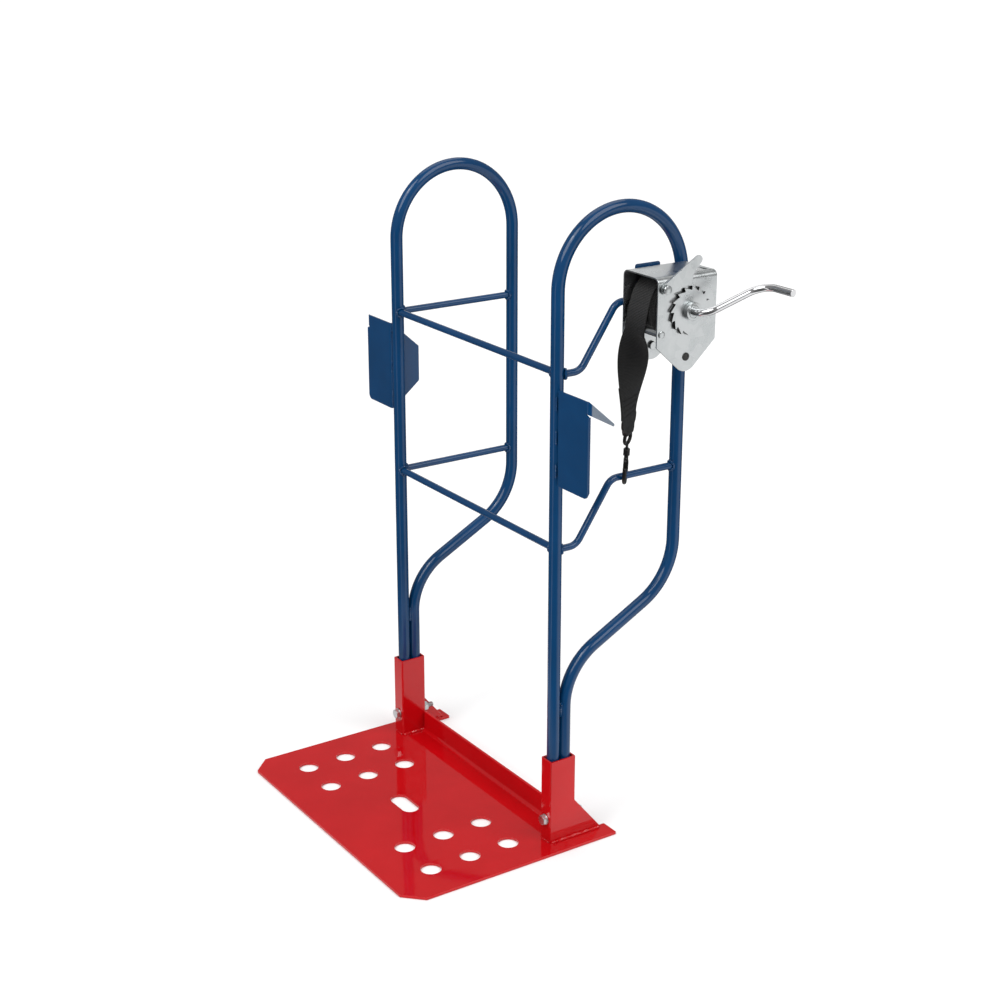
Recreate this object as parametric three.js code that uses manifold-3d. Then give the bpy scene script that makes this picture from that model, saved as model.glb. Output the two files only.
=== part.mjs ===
// Paddock stand: a steel floor plate with two sockets, two tube hoops plugged into them, and a hand winch
// whose webbing strap hooks over a rail. Millimetres, +Z up.
// X runs across the stand, with the winch on the +X hoop. Y runs from the plate's free front edge (-) to
// its back (+). The origin is on the plate's underside, half way across, in line with the hoops' front legs.

import * as THREE from "three";
import { mergeVertices } from "three/addons/utils/BufferGeometryUtils.js";
import Module from "manifold-3d";

// ---------------------------------------------------------------- driving dimensions

const GAP = 0.3; // air left between separate pieces
const JOIN = 1; // overlap of the pieces that are joined into one solid

const plate = {
  width: 590,
  front: -318,
  back: 107,
  thickness: 5,
  chamfer: 33,
  earWidth: 37,
  earRoot: 37.3,
};
const lip = { width: 464, top: 45, back: 37, bendRadius: 12, flatEdge: 25 };
const holes = { radius: 18, columns: [133, 220], rows: [-231, -152, -73] };
const slot = { length: 70, width: 32, centreY: -152 };

const hoop = {
  spacing: 500,
  tubeRadius: 11,
  wall: 2,
  foot: 6,
  archRadius: 125,
  archCentreZ: 981,
  closeLegY: 22.6,
  kneeLowZ: 324,
  kneeHighZ: 445,
  kneeLowRadius: 115,
  kneeHighRadius: 120,
};
const backLegY = 2 * hoop.archRadius;

const socket = { outerX: 30, frontY: -14.7, backY: 37.3, wall: 3, top: 162, flareTop: 76, flareBack: 93 };
const fastener = {
  z: 47,
  shankRadius: 5,
  holeRadius: 5.4,
  acrossFlats: 17,
  headHeight: 6.4,
  nutHeight: 8.4,
  washerRadius: 10,
  washerThickness: 2,
  endY: 62,
};

const rail = { radius: 6, upperZ: 850, lowerZ: 548 };
const bentBar = {
  upperZ: 848,
  lowerZ: 546,
  rise: 104,
  riseStartY: 42,
  riseEndY: 112,
  bendRadius: 25,
  upperOffsetX: 5,
};

const bracket = {
  sheet: 3,
  frontY: -8.5,
  outerX: 98,
  bottom: 664,
  top: 826,
  cornerRadius: 10,
  wingTipY: 50,
  wingTipBottom: 710,
  wingTipTop: 776,
  earTipY: 43,
  earRootBottom: 807,
  earTipBottom: 778,
  earTipTop: 782,
};

// The winch is measured from the +X hoop's axis.
const winch = {
  innerX: 14.6,
  outerX: 104.5,
  sheet: 2.5,
  bendRadius: 10,
  frontY: 118,
  backY: 237.5,
  top: 1008.2,
  shoulderZ: 896,
  lobeY: 178,
  lobeZ: 874,
  lobeRadius: 24,
  accessHole: 6,
  // A slot through the web, near the outer plate's back corner.
  slotFromX: 71,
  slotToX: 92,
  slotFromY: 223.5,
  slotToY: 229,
  axisY: 181,
  axisZ: 950,
};
// The push-in plug that closes the outer access hole: its flange is inside and its lip outside.
const plug = { radius: 5.7, flangeRadius: 8, flange: 1.5, lipRadius: 6.8, lip: 1 };
const carrier = {
  innerX: 11.3,
  sheet: 3,
  frontY: 136,
  tabFront: 143,
  tabBack: 193,
  tabTop: 1012,
  top: 998,
  backY: 262,
  bottom: 862,
};
const guideBar = { y: 127, z: 917, radius: 6, spigotRadius: 4, spigotHole: 4.3, rivetHead: 2 };
const mountBolt = {
  radius: 4,
  holeRadius: 4.3,
  acrossFlats: 13,
  head: 4.5,
  nut: 6,
  beyondNut: 2,
  cornerY: 229,
  cornerZ: 992,
};
const shaft = { radius: 10, startX: 12, endX: 119, boreRadius: 6.3, boreStartX: 90 };
const bush = { outerRadius: 13, flangeRadius: 16, flange: 2, clearance: 0.2 };
const drum = { coreRadius: 18, startX: 21, endX: 98 };
const ratchet = {
  teeth: 16,
  tipRadius: 40,
  rootRadius: 34,
  startX: 105.1,
  thickness: 5,
  steepAngle: 87.8,
  tipShare: 0.94, // share of a tooth's pitch at which its back reaches the tip
};
const collar = { startX: 110.5, endX: 118.5, radius: 15, pinX: 114.5, pinRadius: 2, pinHole: 2.3 };
const crank = {
  radius: 6,
  startX: 92,
  lowCornerX: 144,
  highCornerX: 165,
  endX: 234,
  armY: 102,
  armZ: 39,
  lowBend: 28,
  highBend: 36,
};
const pawl = {
  pivotY: 131,
  pivotZ: 990,
  startX: 105.4,
  thickness: 4,
  tipY: 195,
  tipZ: 1030.5,
  halfWidth: 7,
  eyeRadius: 9,
  pinRadius: 4,
  holeRadius: 4.3,
  springLength: 3,
  springWire: 2.2,
  rivetShoulder: 2.5,
  rivetHeadRadius: 7.5,
  // The lower edge, in (y, z) from the pivot: the nose ends just clear of the ratchet wheel's tips.
  underside: [[21, -6.5], [37.5, 1.5], [41, 1.6], [47.8, 0.4], [51.3, 0.4], [51.6, 4], [54, 18]],
};

const strap = {
  width: 50,
  thickness: 1.8,
  centreX: 46,
  rollRadius: 54.5,
  leaveAngle: 6.4, // above the drum's axis, where the webbing leaves the roll
  twistStart: 8, // below the guide bar
  twist: 117,
  twistEase: 1.6, // above 1, so that the twist is quicker near the guide bar than at the sewn end
  sewnLength: 30,
  // The sewn end narrows round the eye: distance along it, share of the width, and thickness there.
  sewnEnd: [[3, 1, 4.6], [16, 0.94, 4.6], [26, 0.56, 10.2], [33, 0.44, 10.2], [35, 0.4, 4.6]],
};
const hook = {
  barY: 142,
  rodRadius: 3.6,
  bendRadius: 16,
  barGap: 1.2,
  planeAngle: -42,
  tipW: 17.5,
  barrelRadius: 5.5,
  barrelBottomW: 34,
  barrelTopW: 46.3,
  ringW: 67.2,
  ringRadius: 11,
  ringRodRadius: 3,
  shankBottomW: 27,
  offsetW: 13,
  offsetBend: 7,
};
const stem = { radius: 2.3, headRadius: 3.5, headBottom: 36.5, headTop: 40 };
const gate = {
  pivotU: 6.8,
  pivotW: 31,
  pinRadius: 1.2,
  pinHole: 1.5,
  halfWidth: 3.6,
  lugReach: 2.6,
  lugHalf: 1.6,
  tongueHalf: 1.9,
  slotReachU: 6,
  slotReachW: 4,
  width: 2.3,
};

// ---------------------------------------------------------------- materials

function finish(name, color, roughness, metalness) {
  return new THREE.MeshStandardMaterial({ name, color, roughness, metalness });
}

const red = finish("red_paint", 0xc01018, 0.18, 0);
const blue = finish("blue_paint", 0x163e78, 0.2, 0);
const zinc = finish("zinc", 0xc8cccd, 0.35, 1);
const chrome = finish("chrome", 0xdadcde, 0.12, 1);
const black = finish("black_steel", 0x1c1c1b, 0.4, 0.6);
const bronze = finish("bronze", 0x9a7a45, 0.4, 1);
const rubber = finish("black_rubber", 0x141414, 0.6, 0);
const webbing = finish("webbing", 0x20201e, 0.8, 0);

// ---------------------------------------------------------------- solids, joined and cut

const wasm = await Module();
wasm.setup();

function toSolid(geometry) {
  const bare = geometry.clone();
  bare.deleteAttribute("normal");
  bare.deleteAttribute("uv");
  const merged = mergeVertices(bare, 1e-4);
  const vertProperties = new Float32Array(merged.attributes.position.array);
  const triVerts = new Uint32Array(merged.index.array);
  return new wasm.Manifold(new wasm.Mesh({ numProp: 3, vertProperties, triVerts }));
}

function toGeometry(solid) {
  const mesh = solid.getMesh();
  const geometry = new THREE.BufferGeometry();
  geometry.setAttribute("position", new THREE.BufferAttribute(mesh.vertProperties, 3));
  geometry.setIndex(new THREE.BufferAttribute(mesh.triVerts, 1));
  return geometry;
}

function join(...geometries) {
  return toGeometry(geometries.map(toSolid).reduce((whole, piece) => whole.add(piece)));
}

function cut(geometry, ...tools) {
  return toGeometry(tools.map(toSolid).reduce((whole, tool) => whole.subtract(tool), toSolid(geometry)));
}

function common(first, second) {
  return toGeometry(toSolid(first).intersect(toSolid(second)));
}

// ---------------------------------------------------------------- basic shapes

const radians = THREE.MathUtils.degToRad;
const X = new THREE.Vector3(1, 0, 0);
const Y = new THREE.Vector3(0, 1, 0);
const Z = new THREE.Vector3(0, 0, 1);

function polygon(radius, sides) {
  const points = [];
  for (let side = 0; side < sides; side += 1) {
    const angle = (2 * Math.PI * side) / sides;
    points.push(new THREE.Vector2(radius * Math.cos(angle), radius * Math.sin(angle)));
  }
  return points;
}

// A many-sided cutter whose flats, not its corners, lie at the radius.
function aroundRadius(radius, sides) {
  return radius / Math.cos(Math.PI / sides);
}

function outline(points) {
  return new THREE.Shape(points.map(([a, b]) => new THREE.Vector2(a, b)));
}

function slab(shape, depth) {
  return new THREE.ExtrudeGeometry(shape, { depth, bevelEnabled: false, curveSegments: 8 });
}

// An outline drawn in (y, z), thickened from x0 to x1.
function slabAlongX(shape, x0, x1) {
  const geometry = slab(shape, x1 - x0);
  return geometry.applyMatrix4(new THREE.Matrix4().makeBasis(Y, Z, X)).translate(x0, 0, 0);
}

// An outline drawn in (x, z), thickened from y0 to y1.
function slabAlongY(shape, y0, y1) {
  const geometry = slab(shape, y1 - y0);
  return geometry.applyMatrix4(new THREE.Matrix4().makeBasis(X, Z, Y.clone().negate())).translate(0, y1, 0);
}

function rodAlongX(radius, x0, x1, y, z, sides = 16) {
  return slabAlongX(new THREE.Shape(polygon(radius, sides)), x0, x1).translate(0, y, z);
}

function rodAlongY(radius, y0, y1, x, z, sides = 16) {
  return slabAlongY(new THREE.Shape(polygon(radius, sides)), y0, y1).translate(x, 0, z);
}

function rodAlongZ(radius, z0, z1, x, y, sides = 16) {
  return slab(new THREE.Shape(polygon(radius, sides)), z1 - z0).translate(x, y, z0);
}

function hexRadius(acrossFlats) {
  return acrossFlats / Math.sqrt(3);
}

// A turned piece on the X axis: pairs of (x, radius), closed on the axis or on themselves.
function turnedAlongX(profile, sides = 16) {
  const points = profile.map(([x, radius]) => new THREE.Vector2(radius, x));
  const geometry = new THREE.LatheGeometry(points, sides);
  return geometry.applyMatrix4(new THREE.Matrix4().makeBasis(Y, X, Z.clone().negate()));
}

// A route of straight runs joined by round bends, with stations only where it starts, ends or bends.
class BentRoute extends THREE.Curve {
  constructor(corners, bendRadii, stepAngle = 15) {
    super();
    this.stations = [];
    const runs = corners.slice(1).map((corner, index) => corner.clone().sub(corners[index]));
    const directions = runs.map((run) => run.normalize());
    this.add(corners[0], directions[0]);
    for (let index = 1; index < corners.length - 1; index += 1) {
      this.addBend(corners[index], directions[index - 1], directions[index], bendRadii[index - 1], stepAngle);
    }
    this.add(corners[corners.length - 1], directions[directions.length - 1]);
  }

  add(point, direction) {
    this.stations.push({ point: point.clone(), direction: direction.clone().normalize() });
  }

  addBend(corner, before, after, radius, stepAngle) {
    const turn = before.angleTo(after);
    const reach = radius * Math.tan(turn / 2);
    const start = corner.clone().addScaledVector(before, -reach);
    const inward = after.clone().addScaledVector(before, -after.dot(before)).normalize();
    const steps = Math.max(2, Math.ceil(THREE.MathUtils.radToDeg(turn) / stepAngle));
    for (let step = 0; step <= steps; step += 1) {
      const angle = (turn * step) / steps;
      const point = start.clone();
      point.addScaledVector(before, radius * Math.sin(angle));
      point.addScaledVector(inward, radius * (1 - Math.cos(angle)));
      const direction = before.clone().multiplyScalar(Math.cos(angle));
      direction.addScaledVector(inward, Math.sin(angle));
      this.add(point, direction);
    }
  }

  get steps() {
    return this.stations.length - 1;
  }

  station(t) {
    return this.stations[Math.round(t * this.steps)];
  }

  getPoint(t) {
    return this.station(t).point.clone();
  }

  getPointAt(u) {
    return this.getPoint(u);
  }

  getTangent(t) {
    return this.station(t).direction.clone();
  }

  getTangentAt(u) {
    return this.getTangent(u);
  }
}

function sweep(route, shape) {
  return new THREE.ExtrudeGeometry(shape, { extrudePath: route, steps: route.steps });
}

function bentRod(corners, bendRadii, radius, sides = 12) {
  return sweep(new BentRoute(corners, bendRadii), new THREE.Shape(polygon(radius, sides)));
}

function bentTube(corners, bendRadii, radius, wall, sides) {
  const shape = new THREE.Shape(polygon(radius, sides));
  shape.holes.push(new THREE.Path(polygon(radius - wall, sides)));
  return sweep(new BentRoute(corners, bendRadii), shape);
}

// A solid through a row of rings that each have the same number of points, closed at both ends.
function loft(rings) {
  const count = rings[0].length;
  const positions = rings.flat().flatMap((point) => point.toArray());
  const index = [];
  for (let row = 0; row < rings.length - 1; row += 1) {
    for (let column = 0; column < count; column += 1) {
      const here = row * count + column;
      const next = row * count + ((column + 1) % count);
      index.push(here, next, next + count, here, next + count, here + count);
    }
  }
  const last = (rings.length - 1) * count;
  for (let column = 1; column < count - 1; column += 1) {
    index.push(0, column + 1, column);
    index.push(last, last + column, last + column + 1);
  }
  const geometry = new THREE.BufferGeometry();
  geometry.setAttribute("position", new THREE.Float32BufferAttribute(positions, 3));
  geometry.setIndex(index);
  return geometry;
}

function named(name, geometry, material) {
  const mesh = new THREE.Mesh(geometry, material);
  mesh.name = name;
  return mesh;
}

// ---------------------------------------------------------------- floor plate

function basePlate() {
  const side = plate.width / 2;
  const earInner = side - plate.earWidth;
  const lipSide = lip.width / 2 + 2;
  const right = [
    [side - plate.chamfer, plate.front],
    [side, plate.front + plate.chamfer],
    [side, plate.back],
    [earInner, plate.back],
    [earInner, plate.earRoot],
    [lipSide, plate.earRoot],
    [lipSide, lip.flatEdge],
  ];
  const left = right.map(([x, y]) => [-x, y]).reverse();
  const shape = outline([...right, ...left]);
  for (const row of holes.rows) {
    for (const column of holes.columns) {
      for (const x of [-column, column]) {
        const hole = polygon(holes.radius, 24).map((point) => point.add(new THREE.Vector2(x, row)));
        shape.holes.push(new THREE.Path(hole));
      }
    }
  }
  const end = slot.length / 2 - slot.width / 2;
  const centreSlot = new THREE.Path();
  centreSlot.absarc(end, slot.centreY, slot.width / 2, -Math.PI / 2, Math.PI / 2);
  centreSlot.absarc(-end, slot.centreY, slot.width / 2, Math.PI / 2, (3 * Math.PI) / 2);
  shape.holes.push(centreSlot);
  return join(slab(shape, plate.thickness), backLip());
}

// The plate's back edge between the sockets, bent up.
function backLip() {
  const inner = lip.bendRadius - plate.thickness;
  const shape = new THREE.Shape();
  shape.moveTo(lip.flatEdge - JOIN, 0);
  shape.lineTo(lip.flatEdge, 0);
  shape.absarc(lip.flatEdge, lip.bendRadius, lip.bendRadius, -Math.PI / 2, 0);
  shape.lineTo(lip.back, lip.top);
  shape.lineTo(lip.back - plate.thickness, lip.top);
  shape.absarc(lip.flatEdge, lip.bendRadius, inner, 0, -Math.PI / 2, true);
  shape.lineTo(lip.flatEdge - JOIN, plate.thickness);
  return slabAlongX(shape, -lip.width / 2, lip.width / 2);
}

// ---------------------------------------------------------------- sockets and their bolts

function rectangle(x0, x1, y0, y1) {
  return outline([[x0, y0], [x1, y0], [x1, y1], [x0, y1]]);
}

function socketSleeve(side) {
  const half = socket.outerX / 2;
  const bottom = plate.thickness + GAP;
  const section = rectangle(-half, half, socket.frontY, socket.backY);
  const inside = [
    [half - socket.wall, socket.frontY + socket.wall],
    [half - socket.wall, socket.backY - socket.wall],
    [socket.wall - half, socket.backY - socket.wall],
    [socket.wall - half, socket.frontY + socket.wall],
  ];
  section.holes.push(new THREE.Path(inside.map(([x, y]) => new THREE.Vector2(x, y))));
  const sleeve = slab(section, socket.top - bottom).translate(0, 0, bottom);
  const flareRoot = socket.backY - JOIN;
  const flareShape = outline([[flareRoot, bottom], [socket.flareBack, bottom], [flareRoot, socket.flareTop]]);
  const flareX = side > 0 ? half - socket.wall : -half;
  const flare = slabAlongX(flareShape, flareX, flareX + socket.wall);
  const reach = 20;
  const boltHole = rodAlongY(fastener.holeRadius, socket.frontY - reach, socket.backY + reach, 0, fastener.z);
  return cut(join(sleeve, flare), boltHole);
}

function washer() {
  const shape = new THREE.Shape(polygon(fastener.washerRadius, 28));
  shape.holes.push(new THREE.Path(polygon(fastener.holeRadius, 20)));
  return slabAlongY(shape, 0, fastener.washerThickness);
}

function socketNut() {
  const shape = new THREE.Shape(polygon(hexRadius(fastener.acrossFlats), 6));
  shape.holes.push(new THREE.Path(polygon(fastener.holeRadius, 20)));
  return slabAlongY(shape, 0, fastener.nutHeight);
}

function socketBolt(headY) {
  const hex = new THREE.Shape(polygon(hexRadius(fastener.acrossFlats), 6));
  const head = slabAlongY(hex, headY, headY + fastener.headHeight).translate(0, 0, fastener.z);
  const shankY = headY + fastener.headHeight - JOIN;
  const shank = rodAlongY(fastener.shankRadius, shankY, fastener.endY, 0, fastener.z);
  return join(head, shank);
}

function socketFasteners(suffix) {
  const group = new THREE.Group();
  const frontWasherY = socket.frontY - GAP - fastener.washerThickness;
  const backWasherY = socket.backY + GAP;
  const nutY = backWasherY + fastener.washerThickness + GAP;
  const headY = frontWasherY - GAP - fastener.headHeight;
  const frontWasher = named(`socket_front_washer_${suffix}`, washer(), zinc);
  frontWasher.position.set(0, frontWasherY, fastener.z);
  const backWasher = named(`socket_back_washer_${suffix}`, washer(), zinc);
  backWasher.position.set(0, backWasherY, fastener.z);
  const nut = named(`socket_nut_${suffix}`, socketNut(), zinc);
  nut.position.set(0, nutY, fastener.z);
  group.add(named(`socket_bolt_${suffix}`, socketBolt(headY), zinc), frontWasher, backWasher, nut);
  return group;
}

// ---------------------------------------------------------------- hoops and rails

function hoopTube() {
  const archTop = hoop.archCentreZ + hoop.archRadius;
  const corners = [
    [0, hoop.foot],
    [0, archTop],
    [backLegY, archTop],
    [backLegY, hoop.kneeHighZ],
    [hoop.closeLegY, hoop.kneeLowZ],
    [hoop.closeLegY, hoop.foot],
  ].map(([y, z]) => new THREE.Vector3(0, y, z));
  const bends = [hoop.archRadius, hoop.archRadius, hoop.kneeHighRadius, hoop.kneeLowRadius];
  const tube = bentTube(corners, bends, hoop.tubeRadius, hoop.wall, 14);
  const reach = hoop.tubeRadius + JOIN;
  return cut(tube, rodAlongY(fastener.holeRadius, -reach, hoop.closeLegY + reach, 0, fastener.z));
}

// A clearance cutter for what butts against an upright leg of a hoop.
function legCutter(x, y, z) {
  const sides = 24;
  const reach = 40;
  const radius = aroundRadius(hoop.tubeRadius + GAP, sides);
  return rodAlongZ(radius, z - reach, z + reach, x, y, sides);
}

function crossRail(z) {
  const half = hoop.spacing / 2;
  return cut(rodAlongX(rail.radius, -half, half, 0, z, 16), legCutter(-half, 0, z), legCutter(half, 0, z));
}

function straightBar(z) {
  return cut(rodAlongY(rail.radius, 0, backLegY, 0, z, 16), legCutter(0, 0, z), legCutter(0, backLegY, z));
}

function raisedBar(z, offsetX) {
  const corners = [
    [0, z],
    [bentBar.riseStartY, z],
    [bentBar.riseEndY, z + bentBar.rise],
    [backLegY, z + bentBar.rise],
  ].map(([y, height]) => new THREE.Vector3(offsetX, y, height));
  const bar = bentRod(corners, [bentBar.bendRadius, bentBar.bendRadius], rail.radius);
  return cut(bar, legCutter(0, 0, z), legCutter(0, backLegY, z + bentBar.rise));
}

// ---------------------------------------------------------------- brackets on the front legs

function bracketSheet(side) {
  const inner = hoop.tubeRadius + GAP;
  const faceShape = new THREE.Shape();
  faceShape.moveTo(side * inner, bracket.bottom);
  faceShape.lineTo(side * (bracket.outerX - bracket.cornerRadius), bracket.bottom);
  const bendX = side * bracket.outerX;
  faceShape.quadraticCurveTo(bendX, bracket.bottom, bendX, bracket.bottom + bracket.cornerRadius);
  faceShape.lineTo(bendX, bracket.top);
  faceShape.lineTo(side * inner, bracket.top);
  const face = slabAlongY(faceShape, bracket.frontY, bracket.frontY + bracket.sheet);
  const wingShape = outline([
    [bracket.frontY, bracket.bottom],
    [bracket.frontY + bracket.sheet, bracket.bottom],
    [bracket.wingTipY, bracket.wingTipBottom],
    [bracket.wingTipY, bracket.wingTipTop],
    [bracket.frontY + bracket.sheet, bracket.top],
    [bracket.frontY, bracket.top],
  ]);
  const wingX = side > 0 ? inner : -inner - bracket.sheet;
  const wing = slabAlongX(wingShape, wingX, wingX + bracket.sheet);
  const earShape = outline([
    [bracket.frontY, bracket.earRootBottom],
    [bracket.earTipY, bracket.earTipBottom],
    [bracket.earTipY, bracket.earTipTop],
    [bracket.frontY + bracket.sheet, bracket.top],
    [bracket.frontY, bracket.top],
  ]);
  const earX = side > 0 ? bracket.outerX - bracket.sheet : -bracket.outerX;
  const ear = slabAlongX(earShape, earX, earX + bracket.sheet);
  return join(face, wing, ear);
}

// ---------------------------------------------------------------- winch frame and its carrier

function sidePlateOutline() {
  const centre = new THREE.Vector2(winch.lobeY, winch.lobeZ);
  const touch = (corner, sign) => {
    const toCentre = centre.clone().sub(corner);
    const tilt = Math.asin(winch.lobeRadius / toCentre.length());
    return toCentre.angle() - sign * tilt - (sign * Math.PI) / 2;
  };
  const left = touch(new THREE.Vector2(winch.frontY, winch.shoulderZ), 1);
  const right = touch(new THREE.Vector2(winch.backY, winch.shoulderZ), -1);
  const shape = new THREE.Shape();
  shape.moveTo(winch.frontY, winch.top + JOIN);
  shape.lineTo(winch.frontY, winch.shoulderZ);
  shape.absarc(centre.x, centre.y, winch.lobeRadius, left, right, false);
  shape.lineTo(winch.backY, winch.shoulderZ);
  shape.lineTo(winch.backY, winch.top + JOIN);
  return shape;
}

function channelSection() {
  const bottom = winch.lobeZ - winch.lobeRadius - JOIN;
  const outer = winch.bendRadius;
  const inner = winch.bendRadius - winch.sheet;
  const low = winch.innerX + outer;
  const high = winch.outerX - outer;
  const bendZ = winch.top - outer;
  const shape = new THREE.Shape();
  shape.moveTo(winch.innerX, bottom);
  shape.lineTo(winch.innerX, bendZ);
  shape.absarc(low, bendZ, outer, Math.PI, Math.PI / 2, true);
  shape.absarc(high, bendZ, outer, Math.PI / 2, 0, true);
  shape.lineTo(winch.outerX, bottom);
  shape.lineTo(winch.outerX - winch.sheet, bottom);
  shape.absarc(high, bendZ, inner, 0, Math.PI / 2, false);
  shape.absarc(low, bendZ, inner, Math.PI / 2, Math.PI, false);
  shape.lineTo(winch.innerX + winch.sheet, bottom);
  return shape;
}

function throughBoth(radius, y, z) {
  return rodAlongX(radius, winch.innerX - JOIN, winch.outerX + JOIN, y, z);
}

function throughInner(radius, y, z) {
  return rodAlongX(radius, carrier.innerX - JOIN, winch.innerX + winch.sheet + JOIN, y, z);
}

function winchFrame() {
  const slotOutline = rectangle(winch.slotFromX, winch.slotToX, winch.slotFromY, winch.slotToY);
  const slot = slab(slotOutline, winch.bendRadius).translate(0, 0, winch.top - winch.sheet - JOIN);
  const channel = slabAlongY(channelSection(), winch.frontY, winch.backY);
  const sides = slabAlongX(sidePlateOutline(), winch.innerX - JOIN, winch.outerX + JOIN);
  const pivotHoleX = winch.outerX - 2 * winch.sheet;
  const pivotHole = rodAlongX(pawl.holeRadius, pivotHoleX, winch.outerX + JOIN, pawl.pivotY, pawl.pivotZ);
  return cut(
    common(channel, sides),
    throughBoth(bush.outerRadius + GAP, winch.axisY, winch.axisZ),
    throughBoth(guideBar.spigotHole, guideBar.y, guideBar.z),
    throughBoth(winch.accessHole, winch.lobeY, winch.lobeZ),
    throughInner(mountBolt.holeRadius, mountBolt.cornerY, mountBolt.cornerZ),
    pivotHole,
    slot,
  );
}

function accessPlug() {
  const inside = winch.outerX - winch.sheet - GAP;
  const outside = winch.outerX + GAP;
  const turned = turnedAlongX([
    [inside - plug.flange, 0],
    [inside - plug.flange, plug.flangeRadius],
    [inside, plug.flangeRadius],
    [inside, plug.radius],
    [outside, plug.radius],
    [outside, plug.lipRadius],
    [outside + plug.lip, plug.lipRadius - JOIN],
    [outside + plug.lip, 0],
  ]);
  return turned.translate(0, winch.lobeY, winch.lobeZ);
}

function winchCarrier() {
  const shape = outline([
    [carrier.frontY, winch.shoulderZ],
    [winch.lobeY - winch.lobeRadius, carrier.bottom],
    [winch.lobeY + winch.lobeRadius, carrier.bottom],
    [carrier.backY, winch.shoulderZ],
    [carrier.backY, carrier.top],
    [carrier.tabBack, carrier.top],
    [carrier.tabBack, carrier.tabTop],
    [carrier.tabFront, carrier.tabTop],
    [carrier.tabFront, carrier.top],
    [carrier.frontY, carrier.top],
  ]);
  const sheet = slabAlongX(shape, carrier.innerX, carrier.innerX + carrier.sheet);
  return cut(
    sheet,
    throughInner(bush.flangeRadius, winch.axisY, winch.axisZ),
    throughInner(mountBolt.holeRadius, winch.lobeY, winch.lobeZ),
    throughInner(mountBolt.holeRadius, mountBolt.cornerY, mountBolt.cornerZ),
  );
}

// A bolt through the winch's inner side plate and its carrier, its head inside the winch.
function mountingBolt(suffix, y, z) {
  const group = new THREE.Group();
  group.position.set(0, y, z);
  const headX = winch.innerX + winch.sheet + GAP;
  const nutX = carrier.innerX - GAP - mountBolt.nut;
  const hex = new THREE.Shape(polygon(hexRadius(mountBolt.acrossFlats), 6));
  const head = slabAlongX(hex, headX, headX + mountBolt.head);
  const shank = rodAlongX(mountBolt.radius, nutX - mountBolt.beyondNut, headX + JOIN, 0, 0);
  const nutShape = new THREE.Shape(polygon(hexRadius(mountBolt.acrossFlats), 6));
  nutShape.holes.push(new THREE.Path(polygon(mountBolt.holeRadius, 16)));
  const nut = slabAlongX(nutShape, nutX, nutX + mountBolt.nut);
  group.add(named(`winch_bolt_${suffix}`, join(head, shank), zinc));
  group.add(named(`winch_nut_${suffix}`, nut, zinc));
  return group;
}

function strapGuide() {
  const innerFace = winch.innerX + winch.sheet + GAP;
  const outerFace = winch.outerX - winch.sheet - GAP;
  const bar = turnedAlongX([
    [winch.innerX + GAP, 0],
    [winch.innerX + GAP, guideBar.spigotRadius],
    [innerFace, guideBar.spigotRadius],
    [innerFace, guideBar.radius],
    [outerFace, guideBar.radius],
    [outerFace, guideBar.spigotRadius],
    [winch.outerX + GAP, guideBar.spigotRadius],
    [winch.outerX + GAP, guideBar.radius],
    [winch.outerX + guideBar.rivetHead, guideBar.radius - JOIN],
    [winch.outerX + guideBar.rivetHead, 0],
  ]);
  return bar.translate(0, guideBar.y, guideBar.z);
}

function bushing(sign) {
  const faceX = sign > 0 ? winch.outerX - winch.sheet - GAP : winch.innerX + winch.sheet + GAP;
  const endX = faceX + sign * (winch.sheet + GAP);
  const flangeX = faceX - sign * bush.flange;
  const bore = shaft.radius + bush.clearance;
  const profile = [
    [flangeX, bore],
    [endX, bore],
    [endX, bush.outerRadius],
    [faceX, bush.outerRadius],
    [faceX, bush.flangeRadius],
    [flangeX, bush.flangeRadius],
    [flangeX, bore],
  ];
  if (sign > 0) {
    profile.reverse();
  }
  return turnedAlongX(profile).translate(0, winch.axisY, winch.axisZ);
}

// ---------------------------------------------------------------- what turns with the drum

function onAxis(geometry) {
  return geometry.translate(0, winch.axisY, winch.axisZ);
}

function drumShaft() {
  const turned = turnedAlongX([
    [shaft.startX, 0],
    [shaft.startX, shaft.radius],
    [shaft.endX, shaft.radius],
    [shaft.endX, shaft.boreRadius],
    [shaft.boreStartX, shaft.boreRadius],
    [shaft.boreStartX, 0],
  ]);
  return onAxis(cut(turned, crossPin(collar.pinHole)));
}

function sleeveOnShaft(outerRadius, x0, x1) {
  const bore = shaft.radius + GAP;
  return turnedAlongX([[x0, bore], [x0, outerRadius], [x1, outerRadius], [x1, bore], [x0, bore]], 32);
}

function crossPin(radius) {
  return rodAlongZ(radius, -collar.radius - JOIN, collar.radius + JOIN, collar.pinX, 0, 12);
}

function ratchetWheel() {
  const pitch = (2 * Math.PI) / ratchet.teeth;
  const start = radians(ratchet.steepAngle);
  const points = [];
  for (let tooth = 0; tooth < ratchet.teeth; tooth += 1) {
    const steep = start + tooth * pitch;
    const corners = [[ratchet.rootRadius, 0], [ratchet.tipRadius, ratchet.tipShare], [ratchet.tipRadius, 1]];
    for (const [radius, share] of corners) {
      const angle = steep + share * pitch;
      points.push(new THREE.Vector2(radius * Math.cos(angle), radius * Math.sin(angle)));
    }
  }
  const shape = new THREE.Shape(points);
  shape.holes.push(new THREE.Path(polygon(shaft.radius + GAP, 24)));
  return onAxis(slabAlongX(shape, ratchet.startX, ratchet.startX + ratchet.thickness));
}

function crankBar() {
  const corners = [
    [crank.startX, 0, 0],
    [crank.lowCornerX, 0, 0],
    [crank.highCornerX, crank.armY, crank.armZ],
    [crank.endX, crank.armY, crank.armZ],
  ].map(([x, y, z]) => new THREE.Vector3(x, y, z));
  const bar = bentRod(corners, [crank.lowBend, crank.highBend], crank.radius);
  return onAxis(cut(bar, crossPin(collar.pinHole)));
}

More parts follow.
